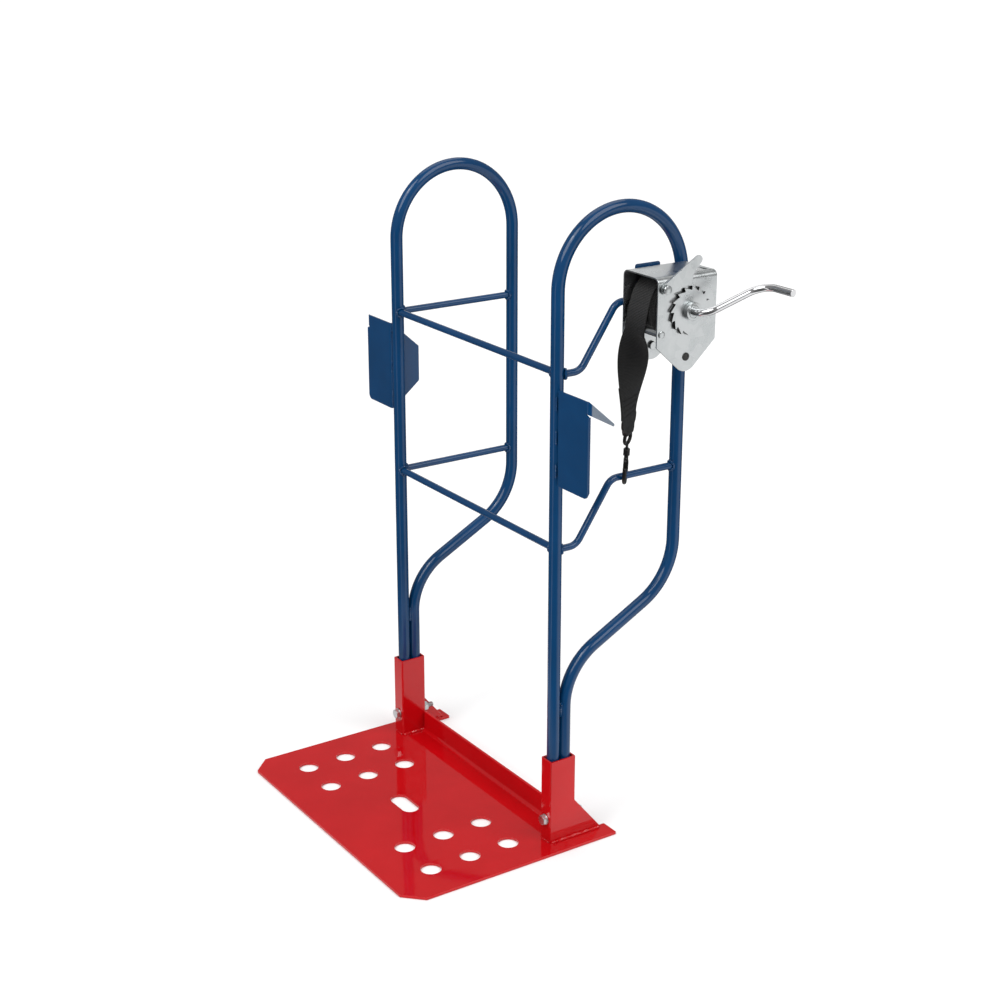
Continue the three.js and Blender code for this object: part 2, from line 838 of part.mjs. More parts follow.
function drumGroup() {
  const group = new THREE.Group();
  const rollHalf = strap.width / 2;
  const roll = turnedAlongX([
    [strap.centreX - rollHalf, drum.coreRadius + GAP],
    [strap.centreX - rollHalf, strap.rollRadius],
    [strap.centreX + rollHalf, strap.rollRadius],
    [strap.centreX + rollHalf, drum.coreRadius + GAP],
    [strap.centreX - rollHalf, drum.coreRadius + GAP],
  ], 48);
  group.add(
    named("drum_shaft", drumShaft(), zinc),
    named("drum_core", onAxis(sleeveOnShaft(drum.coreRadius, drum.startX, drum.endX)), zinc),
    named("strap_roll", onAxis(roll), webbing),
    named("ratchet_wheel", ratchetWheel(), zinc),
    named("crank_collar", onAxis(cut(sleeveOnShaft(collar.radius, collar.startX, collar.endX),
      crossPin(collar.pinHole))), zinc),
    named("crank_pin", onAxis(crossPin(collar.pinRadius)), zinc),
    named("crank", crankBar(), chrome),
  );
  return group;
}

// ---------------------------------------------------------------- pawl

function pawlLever() {
  const along = new THREE.Vector2(pawl.tipY - pawl.pivotY, pawl.tipZ - pawl.pivotZ).normalize();
  const lean = along.angle();
  const shape = new THREE.Shape();
  shape.absarc(pawl.tipY, pawl.tipZ, pawl.halfWidth, lean - Math.PI / 2, lean + Math.PI / 2, false);
  shape.absarc(pawl.pivotY, pawl.pivotZ, pawl.eyeRadius, lean + Math.PI / 2, (3 * Math.PI) / 2, false);
  pawl.underside.forEach(([y, z]) => shape.lineTo(pawl.pivotY + y, pawl.pivotZ + z));
  const endX = pawl.startX + pawl.thickness;
  const hole = rodAlongX(pawl.holeRadius, pawl.startX - JOIN, endX + JOIN, pawl.pivotY, pawl.pivotZ);
  return cut(slabAlongX(shape, pawl.startX, endX), hole);
}

function pawlHeadX() {
  return pawl.startX + pawl.thickness + pawl.springLength;
}

function pawlRivet() {
  const innerFace = winch.outerX - winch.sheet - GAP;
  const headX = pawlHeadX();
  return turnedAlongX([
    [innerFace - pawl.rivetShoulder, 0],
    [innerFace - pawl.rivetShoulder, pawl.rivetHeadRadius - JOIN],
    [innerFace, pawl.rivetHeadRadius],
    [innerFace, pawl.pinRadius],
    [headX, pawl.pinRadius],
    [headX, pawl.rivetHeadRadius],
    [headX + 2 * JOIN, pawl.rivetHeadRadius - JOIN],
    [headX + 3 * JOIN, 0],
  ]).translate(0, pawl.pivotY, pawl.pivotZ);
}

function pawlSpring() {
  const x0 = pawl.startX + pawl.thickness + GAP;
  const x1 = pawlHeadX() - GAP;
  const inner = pawl.pinRadius + GAP;
  const outer = inner + pawl.springWire;
  return turnedAlongX([[x0, inner], [x0, outer], [x1, outer], [x1, inner], [x0, inner]])
    .translate(0, pawl.pivotY, pawl.pivotZ);
}

// ---------------------------------------------------------------- strap span, swivel hook and gate
// The strap runs from the roll over the guide bar and straight to the hook, which pulls up on a side bar.

const half = hoop.spacing / 2;
const hookBar = new THREE.Vector3(half, hook.barY, bentBar.lowerZ + bentBar.rise);
const guideOffset = guideBar.radius + GAP + strap.thickness / 2;
const guideTouch = new THREE.Vector3(half + strap.centreX, guideBar.y - guideOffset, guideBar.z);
const pull = guideTouch.clone().sub(hookBar).normalize();
const planeTurn = radians(hook.planeAngle);
const hookPlane = new THREE.Vector3(Math.cos(planeTurn), Math.sin(planeTurn), 0);
const hookU = hookPlane.clone().addScaledVector(pull, -hookPlane.dot(pull)).normalize();
const hookN = new THREE.Vector3().crossVectors(hookU, pull);
const hookReach = hook.bendRadius - hook.rodRadius - rail.radius - hook.barGap;
const hookCentre = hookBar.clone().addScaledVector(pull, hookReach);
const strapEnd = hookCentre.clone().addScaledVector(pull, hook.ringW + hook.ringRadius);

// A frame at the hook's bend centre: u across the hook, v through its thickness, w along the pull.
function hookFrame() {
  const group = new THREE.Group();
  const turn = new THREE.Matrix4().makeBasis(hookU, hookN.clone().negate(), pull);
  group.applyMatrix4(turn.setPosition(hookCentre));
  return group;
}

function turnedAlongW(profile, sides = 12) {
  const points = profile.map(([w, radius]) => new THREE.Vector2(radius, w));
  return new THREE.LatheGeometry(points, sides).rotateX(Math.PI / 2);
}

// The flat of the webbing turns through the twist angle between the guide bar and its sewn end.
function strapAcross(turnDegrees) {
  const flat = new THREE.Vector3(Math.cos(radians(turnDegrees)), Math.sin(radians(turnDegrees)), 0);
  return flat.addScaledVector(pull, -flat.dot(pull)).normalize();
}

function strapRing(centre, across, along, width, thickness) {
  const face = new THREE.Vector3().crossVectors(along, across).normalize();
  const corners = [[-1, 1], [0, 1], [1, 1], [1, -1], [0, -1], [-1, -1]];
  return corners.map(([a, b]) => centre.clone()
    .addScaledVector(across, (a * width) / 2)
    .addScaledVector(face, (b * thickness) / 2));
}

function strapSpan() {
  const up = Z.clone();
  const rollGap = strap.rollRadius + GAP + strap.thickness / 2;
  const leave = radians(strap.leaveAngle);
  const leaveY = winch.axisY - rollGap * Math.cos(leave);
  const rollTouch = new THREE.Vector3(guideTouch.x, leaveY, winch.axisZ + rollGap * Math.sin(leave));
  const guideTop = guideTouch.clone().addScaledVector(up, JOIN);
  const rings = [
    strapRing(rollTouch, X, up, strap.width, strap.thickness),
    strapRing(guideTop, X, up, strap.width, strap.thickness),
  ];
  const sewnStart = strapEnd.clone().addScaledVector(pull, strap.sewnLength);
  const start = guideTouch.clone().addScaledVector(pull, -strap.twistStart);
  const steps = 14;
  for (let step = 0; step <= steps; step += 1) {
    const share = step / steps;
    const centre = start.clone().lerp(sewnStart, share);
    const across = strapAcross(strap.twist * (1 - (1 - share) ** strap.twistEase));
    rings.push(strapRing(centre, across, pull, strap.width, strap.thickness));
  }
  const across = strapAcross(strap.twist);
  for (const [beyond, widthShare, thickness] of strap.sewnEnd) {
    const centre = sewnStart.clone().addScaledVector(pull, -beyond);
    rings.push(strapRing(centre, across, pull, widthShare * strap.width, thickness));
  }
  const eyeRod = eyeRing(hook.ringRodRadius + GAP);
  return cut(loft(rings), eyeRod);
}

function eyeRing(rodRadius) {
  const across = strapAcross(strap.twist);
  const facing = new THREE.Vector3().crossVectors(across, pull);
  const centre = hookCentre.clone().addScaledVector(pull, hook.ringW);
  const frame = new THREE.Matrix4().makeBasis(across, pull, facing).setPosition(centre);
  return new THREE.TorusGeometry(hook.ringRadius, rodRadius, 10, 24).applyMatrix4(frame);
}

// The eye that the webbing is sewn round, with the stem that the hook swivels on.
function swivelEye() {
  const stemTop = hook.ringW - hook.ringRadius;
  const pin = turnedAlongW([
    [stem.headBottom, 0],
    [stem.headBottom, stem.headRadius],
    [stem.headTop, stem.headRadius],
    [stem.headTop, stem.radius],
    [stemTop, stem.radius],
    [stemTop, 0],
  ]);
  const placed = pin.applyMatrix4(hookFrame().matrix);
  return join(eyeRing(hook.ringRodRadius), placed);
}

function acrossHook(shape, halfThickness) {
  const geometry = slab(shape, 2 * halfThickness);
  return geometry.translate(0, 0, -halfThickness).rotateX(Math.PI / 2);
}

function gatePin(radius, halfLength) {
  const pivot = new THREE.Vector2(gate.pivotU, gate.pivotW);
  const disc = new THREE.Shape(polygon(radius, 12).map((point) => point.add(pivot)));
  return acrossHook(disc, halfLength);
}

function hookBody() {
  const route = [
    [0, hook.barrelBottomW + JOIN],
    [0, hook.shankBottomW],
    [-hook.bendRadius, hook.offsetW],
    [-hook.bendRadius, -hook.bendRadius],
    [hook.bendRadius, -hook.bendRadius],
    [hook.bendRadius, hook.tipW],
  ].map(([u, w]) => new THREE.Vector3(u, 0, w));
  const bends = [hook.offsetBend, hook.offsetBend, hook.bendRadius, hook.bendRadius];
  const rod = bentRod(route, bends, hook.rodRadius);
  const barrel = turnedAlongW([
    [hook.barrelBottomW, 0],
    [hook.barrelBottomW, hook.barrelRadius],
    [hook.barrelTopW, hook.barrelRadius],
    [hook.barrelTopW, stem.radius + GAP],
    [stem.headTop + GAP, stem.radius + GAP],
    [stem.headTop + GAP, stem.headRadius + GAP],
    [stem.headBottom - GAP, stem.headRadius + GAP],
    [stem.headBottom - GAP, 0],
  ]);
  const lugTop = gate.pivotW + gate.lugReach;
  const lugShape = rectangle(0, gate.pivotU + gate.lugReach, gate.pivotW - gate.lugReach, lugTop);
  const lug = acrossHook(lugShape, gate.lugHalf);
  return cut(join(rod, barrel, lug), gatePin(gate.pinHole, gate.lugHalf + JOIN));
}

// The gate is a folded tongue that straddles the hook's lug and closes against the inside of the hook's tip.
function hookGate() {
  const tipFace = hook.bendRadius - hook.rodRadius - GAP;
  const tongueEnd = hook.tipW - 2 * gate.width + JOIN / 2;
  const shape = outline([
    [gate.pivotU - gate.width, gate.pivotW + gate.width / 2],
    [gate.pivotU - gate.width, gate.pivotW - gate.width],
    [tipFace - gate.width, tongueEnd],
    [tipFace, tongueEnd],
    [tipFace, hook.tipW + JOIN],
    [gate.pivotU + 1.5 * gate.width, gate.pivotW - JOIN],
    [gate.pivotU + gate.width, gate.pivotW + gate.width],
  ]);
  const body = acrossHook(shape, gate.halfWidth);
  const slotShape = rectangle(
    gate.pivotU - gate.slotReachU,
    gate.pivotU + gate.slotReachU,
    gate.pivotW - gate.slotReachW,
    gate.pivotW + gate.slotReachW,
  );
  const lugSlot = acrossHook(slotShape, gate.tongueHalf);
  return cut(body, lugSlot, gatePin(gate.pinHole, gate.halfWidth + JOIN));
}

// ---------------------------------------------------------------- the stand

const stand = new THREE.Group();
stand.add(named("base_plate", basePlate(), red));

for (const [suffix, side] of [["left", -1], ["right", 1]]) {
  const group = new THREE.Group();
  group.position.x = side * half;
  group.add(named(`socket_${suffix}`, socketSleeve(side), red));
  group.add(socketFasteners(suffix));
  group.add(named(`hoop_${suffix}`, hoopTube(), blue));
  group.add(named(`bracket_${suffix}`, bracketSheet(side), blue));
  for (const [level, straightZ, raisedZ, offsetX] of [
    ["upper", rail.upperZ, bentBar.upperZ, bentBar.upperOffsetX],
    ["lower", rail.lowerZ, bentBar.lowerZ, 0],
  ]) {
    const bar = side < 0 ? straightBar(straightZ) : raisedBar(raisedZ, offsetX);
    group.add(named(`side_bar_${level}_${suffix}`, bar, blue));
  }
  stand.add(group);
}
stand.add(named("cross_rail_upper", crossRail(rail.upperZ), blue));
stand.add(named("cross_rail_lower", crossRail(rail.lowerZ), blue));

const winchGroup = new THREE.Group();
winchGroup.position.x = half;
winchGroup.add(
  named("winch_carrier", winchCarrier(), blue),
  named("winch_frame", winchFrame(), zinc),
  mountingBolt("upper", mountBolt.cornerY, mountBolt.cornerZ),
  mountingBolt("lower", winch.lobeY, winch.lobeZ),
  named("access_plug", accessPlug(), rubber),
  named("strap_guide", strapGuide(), zinc),
  named("bush_inner", bushing(-1), bronze),
  named("bush_outer", bushing(1), bronze),
  drumGroup(),
  named("pawl", pawlLever(), zinc),
  named("pawl_rivet", pawlRivet(), zinc),
  named("pawl_spring", pawlSpring(), zinc),
);
stand.add(winchGroup);
stand.add(named("strap", strapSpan(), webbing), named("swivel_eye", swivelEye(), black));

const hookGroup = hookFrame();
hookGroup.add(
  named("hook_body", hookBody(), black),
  named("hook_gate", hookGate(), black),
  named("gate_pin", gatePin(gate.pinRadius, gate.halfWidth), zinc),
);
stand.add(hookGroup);

export default stand;
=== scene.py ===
import random
from math import asin, atan2, ceil, copysign, cos, degrees, pi, radians, sin, sqrt, tan, tau

import bmesh
import bpy
import numpy as np
from mathutils import Matrix, Vector
from mathutils.geometry import tessellate_polygon


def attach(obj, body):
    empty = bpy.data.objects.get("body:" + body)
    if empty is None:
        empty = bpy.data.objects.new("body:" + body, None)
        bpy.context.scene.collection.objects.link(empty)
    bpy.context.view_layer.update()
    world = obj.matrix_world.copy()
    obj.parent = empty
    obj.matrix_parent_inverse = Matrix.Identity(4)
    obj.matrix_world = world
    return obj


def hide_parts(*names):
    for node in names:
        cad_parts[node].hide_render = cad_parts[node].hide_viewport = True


# Paddock stand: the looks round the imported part. Lengths are in millimetres until a piece is made.

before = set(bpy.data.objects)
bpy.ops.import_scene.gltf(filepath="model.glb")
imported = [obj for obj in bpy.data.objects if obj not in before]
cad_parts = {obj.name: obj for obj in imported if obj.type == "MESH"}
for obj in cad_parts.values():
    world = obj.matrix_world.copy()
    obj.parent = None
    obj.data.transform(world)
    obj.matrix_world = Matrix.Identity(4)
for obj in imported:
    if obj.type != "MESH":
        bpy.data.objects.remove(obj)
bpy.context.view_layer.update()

MM = 0.001
scene = bpy.context.scene
link = scene.collection.objects.link
HALF = 250.0  # from the middle of the stand to each hoop
GAP = 0.3  # air between separate pieces
QUARTER = pi / 2
X, Y, Z = Vector((1, 0, 0)), Vector((0, 1, 0)), Vector((0, 0, 1))
SIDES = (("left", -1), ("right", 1))


# ---- materials

# How fine the patterns are, in repeats per metre.
CLOUDS, SMEARS, ORANGE_PEEL, DUST = 9, 60, 260, 1400
GRAIN, HANDLING = 420, 150
DRAWING_MARKS = (900, 60, 900)
# The webbing's patterns follow its flat layout, in repeats per millimetre.
RIBS, PICKS, FUZZ = 0.31, 0.13, 0.35


def add(tree, kind, inputs, output=0, **settings):
    """A new node. Each input is linked to an output of another node or set to a value."""
    node = tree.nodes.new(kind)
    for key, value in settings.items():
        setattr(node, key, value)
    for key, value in inputs.items():
        join(tree, node.inputs[key], value)
    return node.outputs[output]


def join(tree, socket, value):
    if isinstance(value, bpy.types.NodeSocket):
        tree.links.new(value, socket)
    else:
        socket.default_value = value


def started(name, coordinates="Object"):
    """A new material with its node tree and the coordinates that its patterns follow."""
    made = bpy.data.materials.new(name)
    made.use_nodes = True
    return made, made.node_tree, add(made.node_tree, "ShaderNodeTexCoord", {}, coordinates)


def shaded(made, looks):
    for key, value in looks.items():
        join(made.node_tree, made.node_tree.nodes["Principled BSDF"].inputs[key], value)
    return made


def ramp(tree, source, stops):
    colour = add(tree, "ShaderNodeValToRGB", {"Fac": source})
    elements = colour.node.color_ramp.elements
    while len(elements) < len(stops):
        elements.new(0.5)
    for element, (place, shade) in zip(elements, stops):
        element.position = place
        element.color = (*shade, 1)
    return colour


def grey(level):
    return level, level, level


def noise(tree, place, scale, detail=3):
    return add(tree, "ShaderNodeTexNoise",
               {"Vector": place, "Scale": scale, "Detail": detail, "Roughness": 0.55})


def spread(tree, source, low, high, start=0.3, end=0.7):
    return add(tree, "ShaderNodeMapRange",
               {"Value": source, "From Min": start, "From Max": end, "To Min": low, "To Max": high})


def bump(tree, height, distance, strength=1.0, **below):
    return add(tree, "ShaderNodeBump",
               {"Height": height, "Strength": strength, "Distance": distance, **below})


def product(tree, first, second):
    return add(tree, "ShaderNodeMath", {0: first, 1: second}, operation="MULTIPLY")


def paint(name, dark, light, rough, peel, gloss=1.5):
    """Gloss enamel: faint clouding, fine orange peel and a few specks of dust in the finish."""
    made, tree, place = started(name)
    specks = ramp(tree, noise(tree, place, DUST, 1), [(0.72, grey(0)), (0.8, grey(1))])
    waves = bump(tree, noise(tree, place, ORANGE_PEEL, 2), peel)
    return shaded(made, {
        "Base Color": ramp(tree, noise(tree, place, CLOUDS), [(0.3, dark), (0.7, light)]),
        "Roughness": spread(tree, noise(tree, place, SMEARS), rough, rough * 1.9),
        "Normal": bump(tree, specks, 0.00006, 0.6, Normal=waves),
        "IOR": gloss,
    })


def plated(name, dark, light, rough_low, rough_high, crystals, scratch):
    """Plated steel: mottled crystals with faint drawing marks."""
    made, tree, place = started(name)
    cells = add(tree, "ShaderNodeTexVoronoi", {"Vector": place, "Scale": crystals}, "Color")
    level = add(tree, "ShaderNodeSeparateColor", {"Color": cells}, "Red")
    patches = noise(tree, place, crystals * 0.35, 4)
    mottle = add(tree, "ShaderNodeMath", {0: level, 1: 0.28, 2: patches}, operation="MULTIPLY_ADD")
    marks = add(tree, "ShaderNodeMapping", {"Vector": place, "Scale": DRAWING_MARKS})
    return shaded(made, {
        "Base Color": ramp(tree, mottle, [(0.42, dark), (0.78, light)]),
        "Roughness": spread(tree, mottle, rough_low, rough_high, 0.4, 0.8),
        "Normal": bump(tree, noise(tree, marks, 1, 2), scratch),
        "Metallic": 1.0,
    })


def black_oxide(name, metallic=0.5):
    """A dull black surface with fine grain: oxide on steel, or rubber and thread when not metallic. On the
    ratchet's tooth flanks it is painted shade.
    """
    made, tree, place = started(name)
    grain = noise(tree, place, GRAIN, 4)
    shades = [(0.3, (0.006, 0.006, 0.006)), (0.62, (0.016, 0.015, 0.014)), (0.85, (0.05, 0.047, 0.043))]
    return shaded(made, {
        "Base Color": ramp(tree, grain, shades),
        "Roughness": spread(tree, noise(tree, place, HANDLING), 0.26, 0.5),
        "Normal": bump(tree, grain, 0.00008, 0.7),
        "Metallic": metallic,
    })


def woven(name, dark, light, pale_part=0):
    """Black polyester webbing: warp ribs crossed by fine picks. Its first millimetres can be painted paler, a
    painted sheen highlight where it leaves the roll.
    """
    made, tree, flat = started(name, "UV")
    ribs = add(tree, "ShaderNodeTexWave", {"Vector": flat, "Scale": RIBS, "Distortion": 0.0}, "Fac",
               bands_direction="X")
    picks = add(tree, "ShaderNodeTexWave", {"Vector": flat, "Scale": PICKS, "Distortion": 0.25,
                                            "Detail": 1.0}, "Fac", bands_direction="Y")
    weave = product(tree, ribs, picks)
    fuzz = noise(tree, flat, FUZZ)
    shades = ramp(tree, weave, [(0.0, grey(dark)), (0.8, grey(light))])
    # Painted sheen: along its first millimetres the webbing fades from a paler ramp, a painted highlight, to
    # its own black.
    if pale_part:
        along = add(tree, "ShaderNodeSeparateXYZ", {"Vector": flat}, "Y")
        painted_sheen = ramp(tree, weave, [(0.0, grey(2 * dark)), (0.8, grey(8 * light))])
        shades = add(tree, "ShaderNodeMix", {"Factor": spread(tree, along, 1.0, 0.0, 0.0, pale_part), "A": shades,
                                             "B": painted_sheen}, "Result", data_type="RGBA")
    fluff = ramp(tree, fuzz, [(0.3, grey(0.5)), (0.7, grey(1))])
    tone = add(tree, "ShaderNodeMix", {"Factor": 0.35, "A": shades, "B": fluff}, "Result",
               data_type="RGBA", blend_type="MULTIPLY")
    return shaded(made, {
        "Base Color": tone,
        "Roughness": spread(tree, fuzz, 0.42, 0.6),
        "Normal": bump(tree, weave, 0.0005, 0.9),
        "Specular IOR Level": 0.3,
        "Sheen Weight": 0.08,
        "Sheen Roughness": 0.4,
    })


RED = paint("red_enamel", (0.47, 0.0016, 0.004), (0.53, 0.003, 0.006), 0.04, 0.000012, 1.48)
BLUE = paint("blue_enamel", (0.0008, 0.034, 0.105), (0.0016, 0.044, 0.135), 0.07, 0.00002, 1.45)
PALE = paint("worn_flap", (0.105, 0.135, 0.18), (0.16, 0.195, 0.245), 0.2, 0.00003)
ZINC = plated("zinc_plating", (0.49, 0.515, 0.52), (0.59, 0.61, 0.615), 0.25, 0.32, 70, 0.000005)
RUBBER = black_oxide("moulded_rubber", 0.0)
CHROME = plated("chrome_plating", (0.62, 0.62, 0.63), (0.72, 0.72, 0.73), 0.04, 0.09, 60, 0.000004)
BRONZE = plated("bush_metal", (0.30, 0.19, 0.08), (0.42, 0.28, 0.13), 0.28, 0.42, 220, 0.00002)
# Black steel for the hook, and painted shade on the ratchet's tooth flanks.
BLACK_STEEL_AND_SHADE = black_oxide("black_oxide")
# The span's first 42 mm are painted paler: a painted sheen highlight where it comes off the roll.
WEBBING = woven("black_webbing", 0.001, 0.0115, 42)
# The wound roll is the same webbing painted paler all over: painted sheen on the roll's curve.
WOUND_SHEEN_LIT = woven("wound_webbing_painted_sheen", 0.003, 0.08)
THREAD = black_oxide("sewing_thread")


# ---- meshes

TINY = 1e-5
BEAD_STEP, BEAD_SIDES = 0.8, 10  # a weld bead's spacing along its route and its points round it
FOLD_STEPS = 8
BAR_RADIUS, TUBE_RADIUS, TUBE_WALL = 6.0, 11.0, 2.0
END_WELD = 2.3


def part(points, faces, material=0, flat=None):
    """Points in millimetres and their faces; flat gives each point its place on the cloth."""
    return {"points": [Vector(p) for p in points], "faces": faces, "material": material, "flat": flat}


def placed(piece, matrix):
    return {**piece, "points": [matrix @ p for p in piece["points"]]}


def moved(piece, x=0.0, y=0.0, z=0.0):
    return placed(piece, Matrix.Translation((x, y, z)))


def make(name, body, slot, parts, materials, node, sharp=34):
    """One visible piece from its parts, riding on a body and standing for a CAD node."""
    points, faces, kinds, flats = [], [], [], []
    for item in parts:
        start = len(points)
        points += [p * MM for p in item["points"]]
        faces += [tuple(start + i for i in face) for face in item["faces"]]
        kinds += [item["material"]] * len(item["faces"])
        flats += item["flat"] or [(p.x, p.z) for p in item["points"]]
    mesh = bpy.data.meshes.new(name)
    mesh.from_pydata([tuple(p) for p in points], [], faces)
    mesh.polygons.foreach_set("material_index", kinds)
    layer = mesh.uv_layers.new(name="flat")
    corners = np.empty(len(mesh.loops), np.int32)
    mesh.loops.foreach_get("vertex_index", corners)
    layer.data.foreach_set("uv", np.array(flats, np.float32)[corners].ravel())
    work = bmesh.new()
    work.from_mesh(mesh)
    bmesh.ops.remove_doubles(work, verts=work.verts, dist=1e-7)
    bmesh.ops.recalc_face_normals(work, faces=work.faces)
    work.to_mesh(mesh)
    work.free()
    mesh.shade_smooth()
    mesh.set_sharp_from_angle(angle=radians(sharp))
    for material in materials:
        mesh.materials.append(material)
    made = bpy.data.objects.new(name, mesh)
    link(made)
    made.modifiers.new("even", "WEIGHTED_NORMAL").keep_sharp = True
    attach(made, body)
    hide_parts(node)


def zinc(name, node, parts, body="stand", **how):
    make(name, body, "zinc_plate", parts, [ZINC], node, **how)


def blue(name, node, parts, materials=(BLUE,)):
    make(name, "stand", "blue_paint", parts, materials, node)


def polar(radius, angle):
    return radius * cos(angle), radius * sin(angle)


def ring(radius, sides):
    return [polar(radius, tau * k / sides) for k in range(sides)]


def circle(a, b, radius, sides=48):
    return [(a + p, b + q) for p, q in ring(radius, sides)]


def arc_points(a, b, radius, start, end, count):
    return [(a + radius * cos(t), b + radius * sin(t)) for t in np.linspace(start, end, count)]


def around(point, axes, loop):
    return [point + axes[0] * a + axes[1] * b for a, b in loop]


def skin(rows, closed=False, caps=True, material=0, flat=None):
    """A part over rows that each hold the same number of points. Every row is closed on itself."""
    count, number = len(rows[0]), len(rows)
    faces = []
    for row in range(number if closed else number - 1):
        below, above = row * count, ((row + 1) % number) * count
        for k in range(count):
            after = (k + 1) % count
            faces.append((below + k, below + after, above + after, above + k))
    if caps and not closed:
        faces += [tuple(range(count)), tuple(range((number - 1) * count, number * count))]
    return part([p for row in rows for p in row], faces, material, flat)


def bend(behind, corner, ahead, radius, step=4.0, count=0):
    """Points round a bend at a corner, in steps of some degrees or in a given number of steps."""
    before, after = (corner - behind).normalized(), (ahead - corner).normalized()
    turn = before.angle(after)
    start = corner - before * radius * tan(turn / 2)
    inward = (after - before * after.dot(before)).normalized()
    count = count or max(2, ceil(degrees(turn) / step))
    angles = [turn * n / count for n in range(count + 1)]
    return [start + before * radius * sin(t) + inward * radius * (1 - cos(t)) for t in angles]


def rounded(corners, radii, step=4.0):
    """Points along straight runs joined by round bends."""
    corners = [Vector(c) for c in corners]
    made = [corners[0]]
    for k, radius in enumerate(radii):
        made += bend(*corners[k:k + 3], radius, step)
    return made + [corners[-1]]


def rounded_loop(corners, radius, count=6):
    """An outline with its corners rounded, by one radius or by a list of them."""
    corners = [Vector(c) for c in corners]
    made = []
    for k, corner in enumerate(corners):
        size = radius[k] if isinstance(radius, list) else radius
        ahead = corners[(k + 1) % len(corners)]
        made += bend(corners[k - 1], corner, ahead, size, count=count) if size else [corner]
    return [tuple(p) for p in made]


def frames_along(points, closed=False):
    """A pair of axes across the route at each point, carried along it without twisting."""
    number = len(points)
    tangents = []
    for k in range(number):
        ahead = points[(k + 1) % number] if closed or k < number - 1 else points[k]
        behind = points[k - 1] if closed or k > 0 else points[k]
        tangents.append((ahead - behind).normalized())
    across = tangents[0].orthogonal().normalized()
    axes = []
    for k, tangent in enumerate(tangents):
        if k:
            across = tangents[k - 1].rotation_difference(tangent) @ across
        across = (across - tangent * across.dot(tangent)).normalized()
        axes.append((across, tangent.cross(across)))
    return axes


def piped(points, radius, sides, closed=False):
    frames = zip(points, frames_along(points, closed))
    return [around(point, axes, ring(radius, sides)) for point, axes in frames]


def rod(points, radius, sides=28, chamfer=0.0, material=0):
    """A round bar along a route, its ends chamfered."""
    rows = piped(points, radius, sides)
    if chamfer:
        for end, inward in ((0, 1), (-1, -2)):
            along = (points[inward] - points[end]).normalized()
            base = rows[end]
            inner = [points[end] + (p - points[end]) * (1 - chamfer / radius) for p in base]
            outer = [p + along * chamfer for p in base]
            rows = [inner, outer] + rows[1:] if end == 0 else rows[:-1] + [outer, inner]
    return skin(rows, material=material)


def tube(points, sides=44):
    outer, inner = [piped(points, size, sides) for size in (TUBE_RADIUS, TUBE_RADIUS - TUBE_WALL)]
    return skin(outer + inner[::-1], closed=True)


def turned(profile, sides=48):
    """A turned piece on the X axis from pairs of (x, radius)."""
    closed = profile[0] == profile[-1] and profile[0][1] > 0
    stations = profile[:-1] if closed else profile
    rows = [[(x, a, b) for a, b in ring(max(radius, TINY), sides)] for x, radius in stations]
    return skin(rows, closed, caps=False)


def collar(x0, x1, bore, radius, chamfer, sides=48):
    """A turned ring whose outer edges are chamfered."""
    return turned([(x0, bore), (x0, radius - chamfer), (x0 + chamfer, radius), (x1 - chamfer, radius),
                   (x1, radius - chamfer), (x1, bore), (x0, bore)], sides)


def hexagon(flats, x0, x1, bore=0.0, crowned=(True, True), sides=72):
    """A nut or bolt head on the X axis, its corners turned off by a cone."""
    face = 0.94 * flats / 2
    slope = tan(radians(30))
    depth = (flats / sqrt(3) - face) * slope
    steps = [depth * k / 5 for k in range(6)]
    stations = [(x0 + d, d) for d in steps] if crowned[0] else [(x0, depth)]
    stations += [(x1 - d, d) for d in steps[::-1]] if crowned[1] else [(x1, depth)]
    angles = [tau * k / sides for k in range(sides)]
    rows = [[(x, *polar(min(flats / 2 / cos((t + pi / 6) % (pi / 3) - pi / 6), face + d / slope), t))
             for t in angles] for x, d in stations]
    if bore:
        rows += [[(x, a, b) for a, b in ring(radius, sides)] for x, radius in
                 ((x1, bore + 0.8), (x1 - 0.6, bore), (x0 + 0.6, bore), (x0, bore + 0.8))]
    return skin(rows, closed=bore > 0)


def threaded(radius, pitch, x0, x1, sides=36):
    """A length of screw thread on the X axis with a chamfered end at x1."""
    number = int((x1 - x0) / pitch * 7)
    rows = []
    for n in range(number + 1):
        x = x0 + (x1 - x0) * n / number
        row = []
        for k in range(sides):
            phase = (x / pitch + k / sides) % 1
            size = min(radius - 0.6 * pitch * abs(2 * phase - 1), radius - pitch + max(0.0, x1 - x))
            row.append((x, *polar(size, tau * k / sides)))
        rows.append(row)
    return skin(rows)


def area_of(loop):
    return sum(a[0] * b[1] - b[0] * a[1] for a, b in zip(loop, loop[1:] + loop[:1])) / 2


def inset(loop, distance):
    """The loop moved to its left by a distance."""
    made = []
    for k, point in enumerate(loop):
        here = Vector(point)
        before = (here - Vector(loop[k - 1])).normalized()
        after = (Vector(loop[(k + 1) % len(loop)]) - here).normalized()
        first, second = Vector((-before.y, before.x)), Vector((-after.y, after.x))
        made.append(here + (first + second) * (distance / (1 + first.dot(second))))
    return made


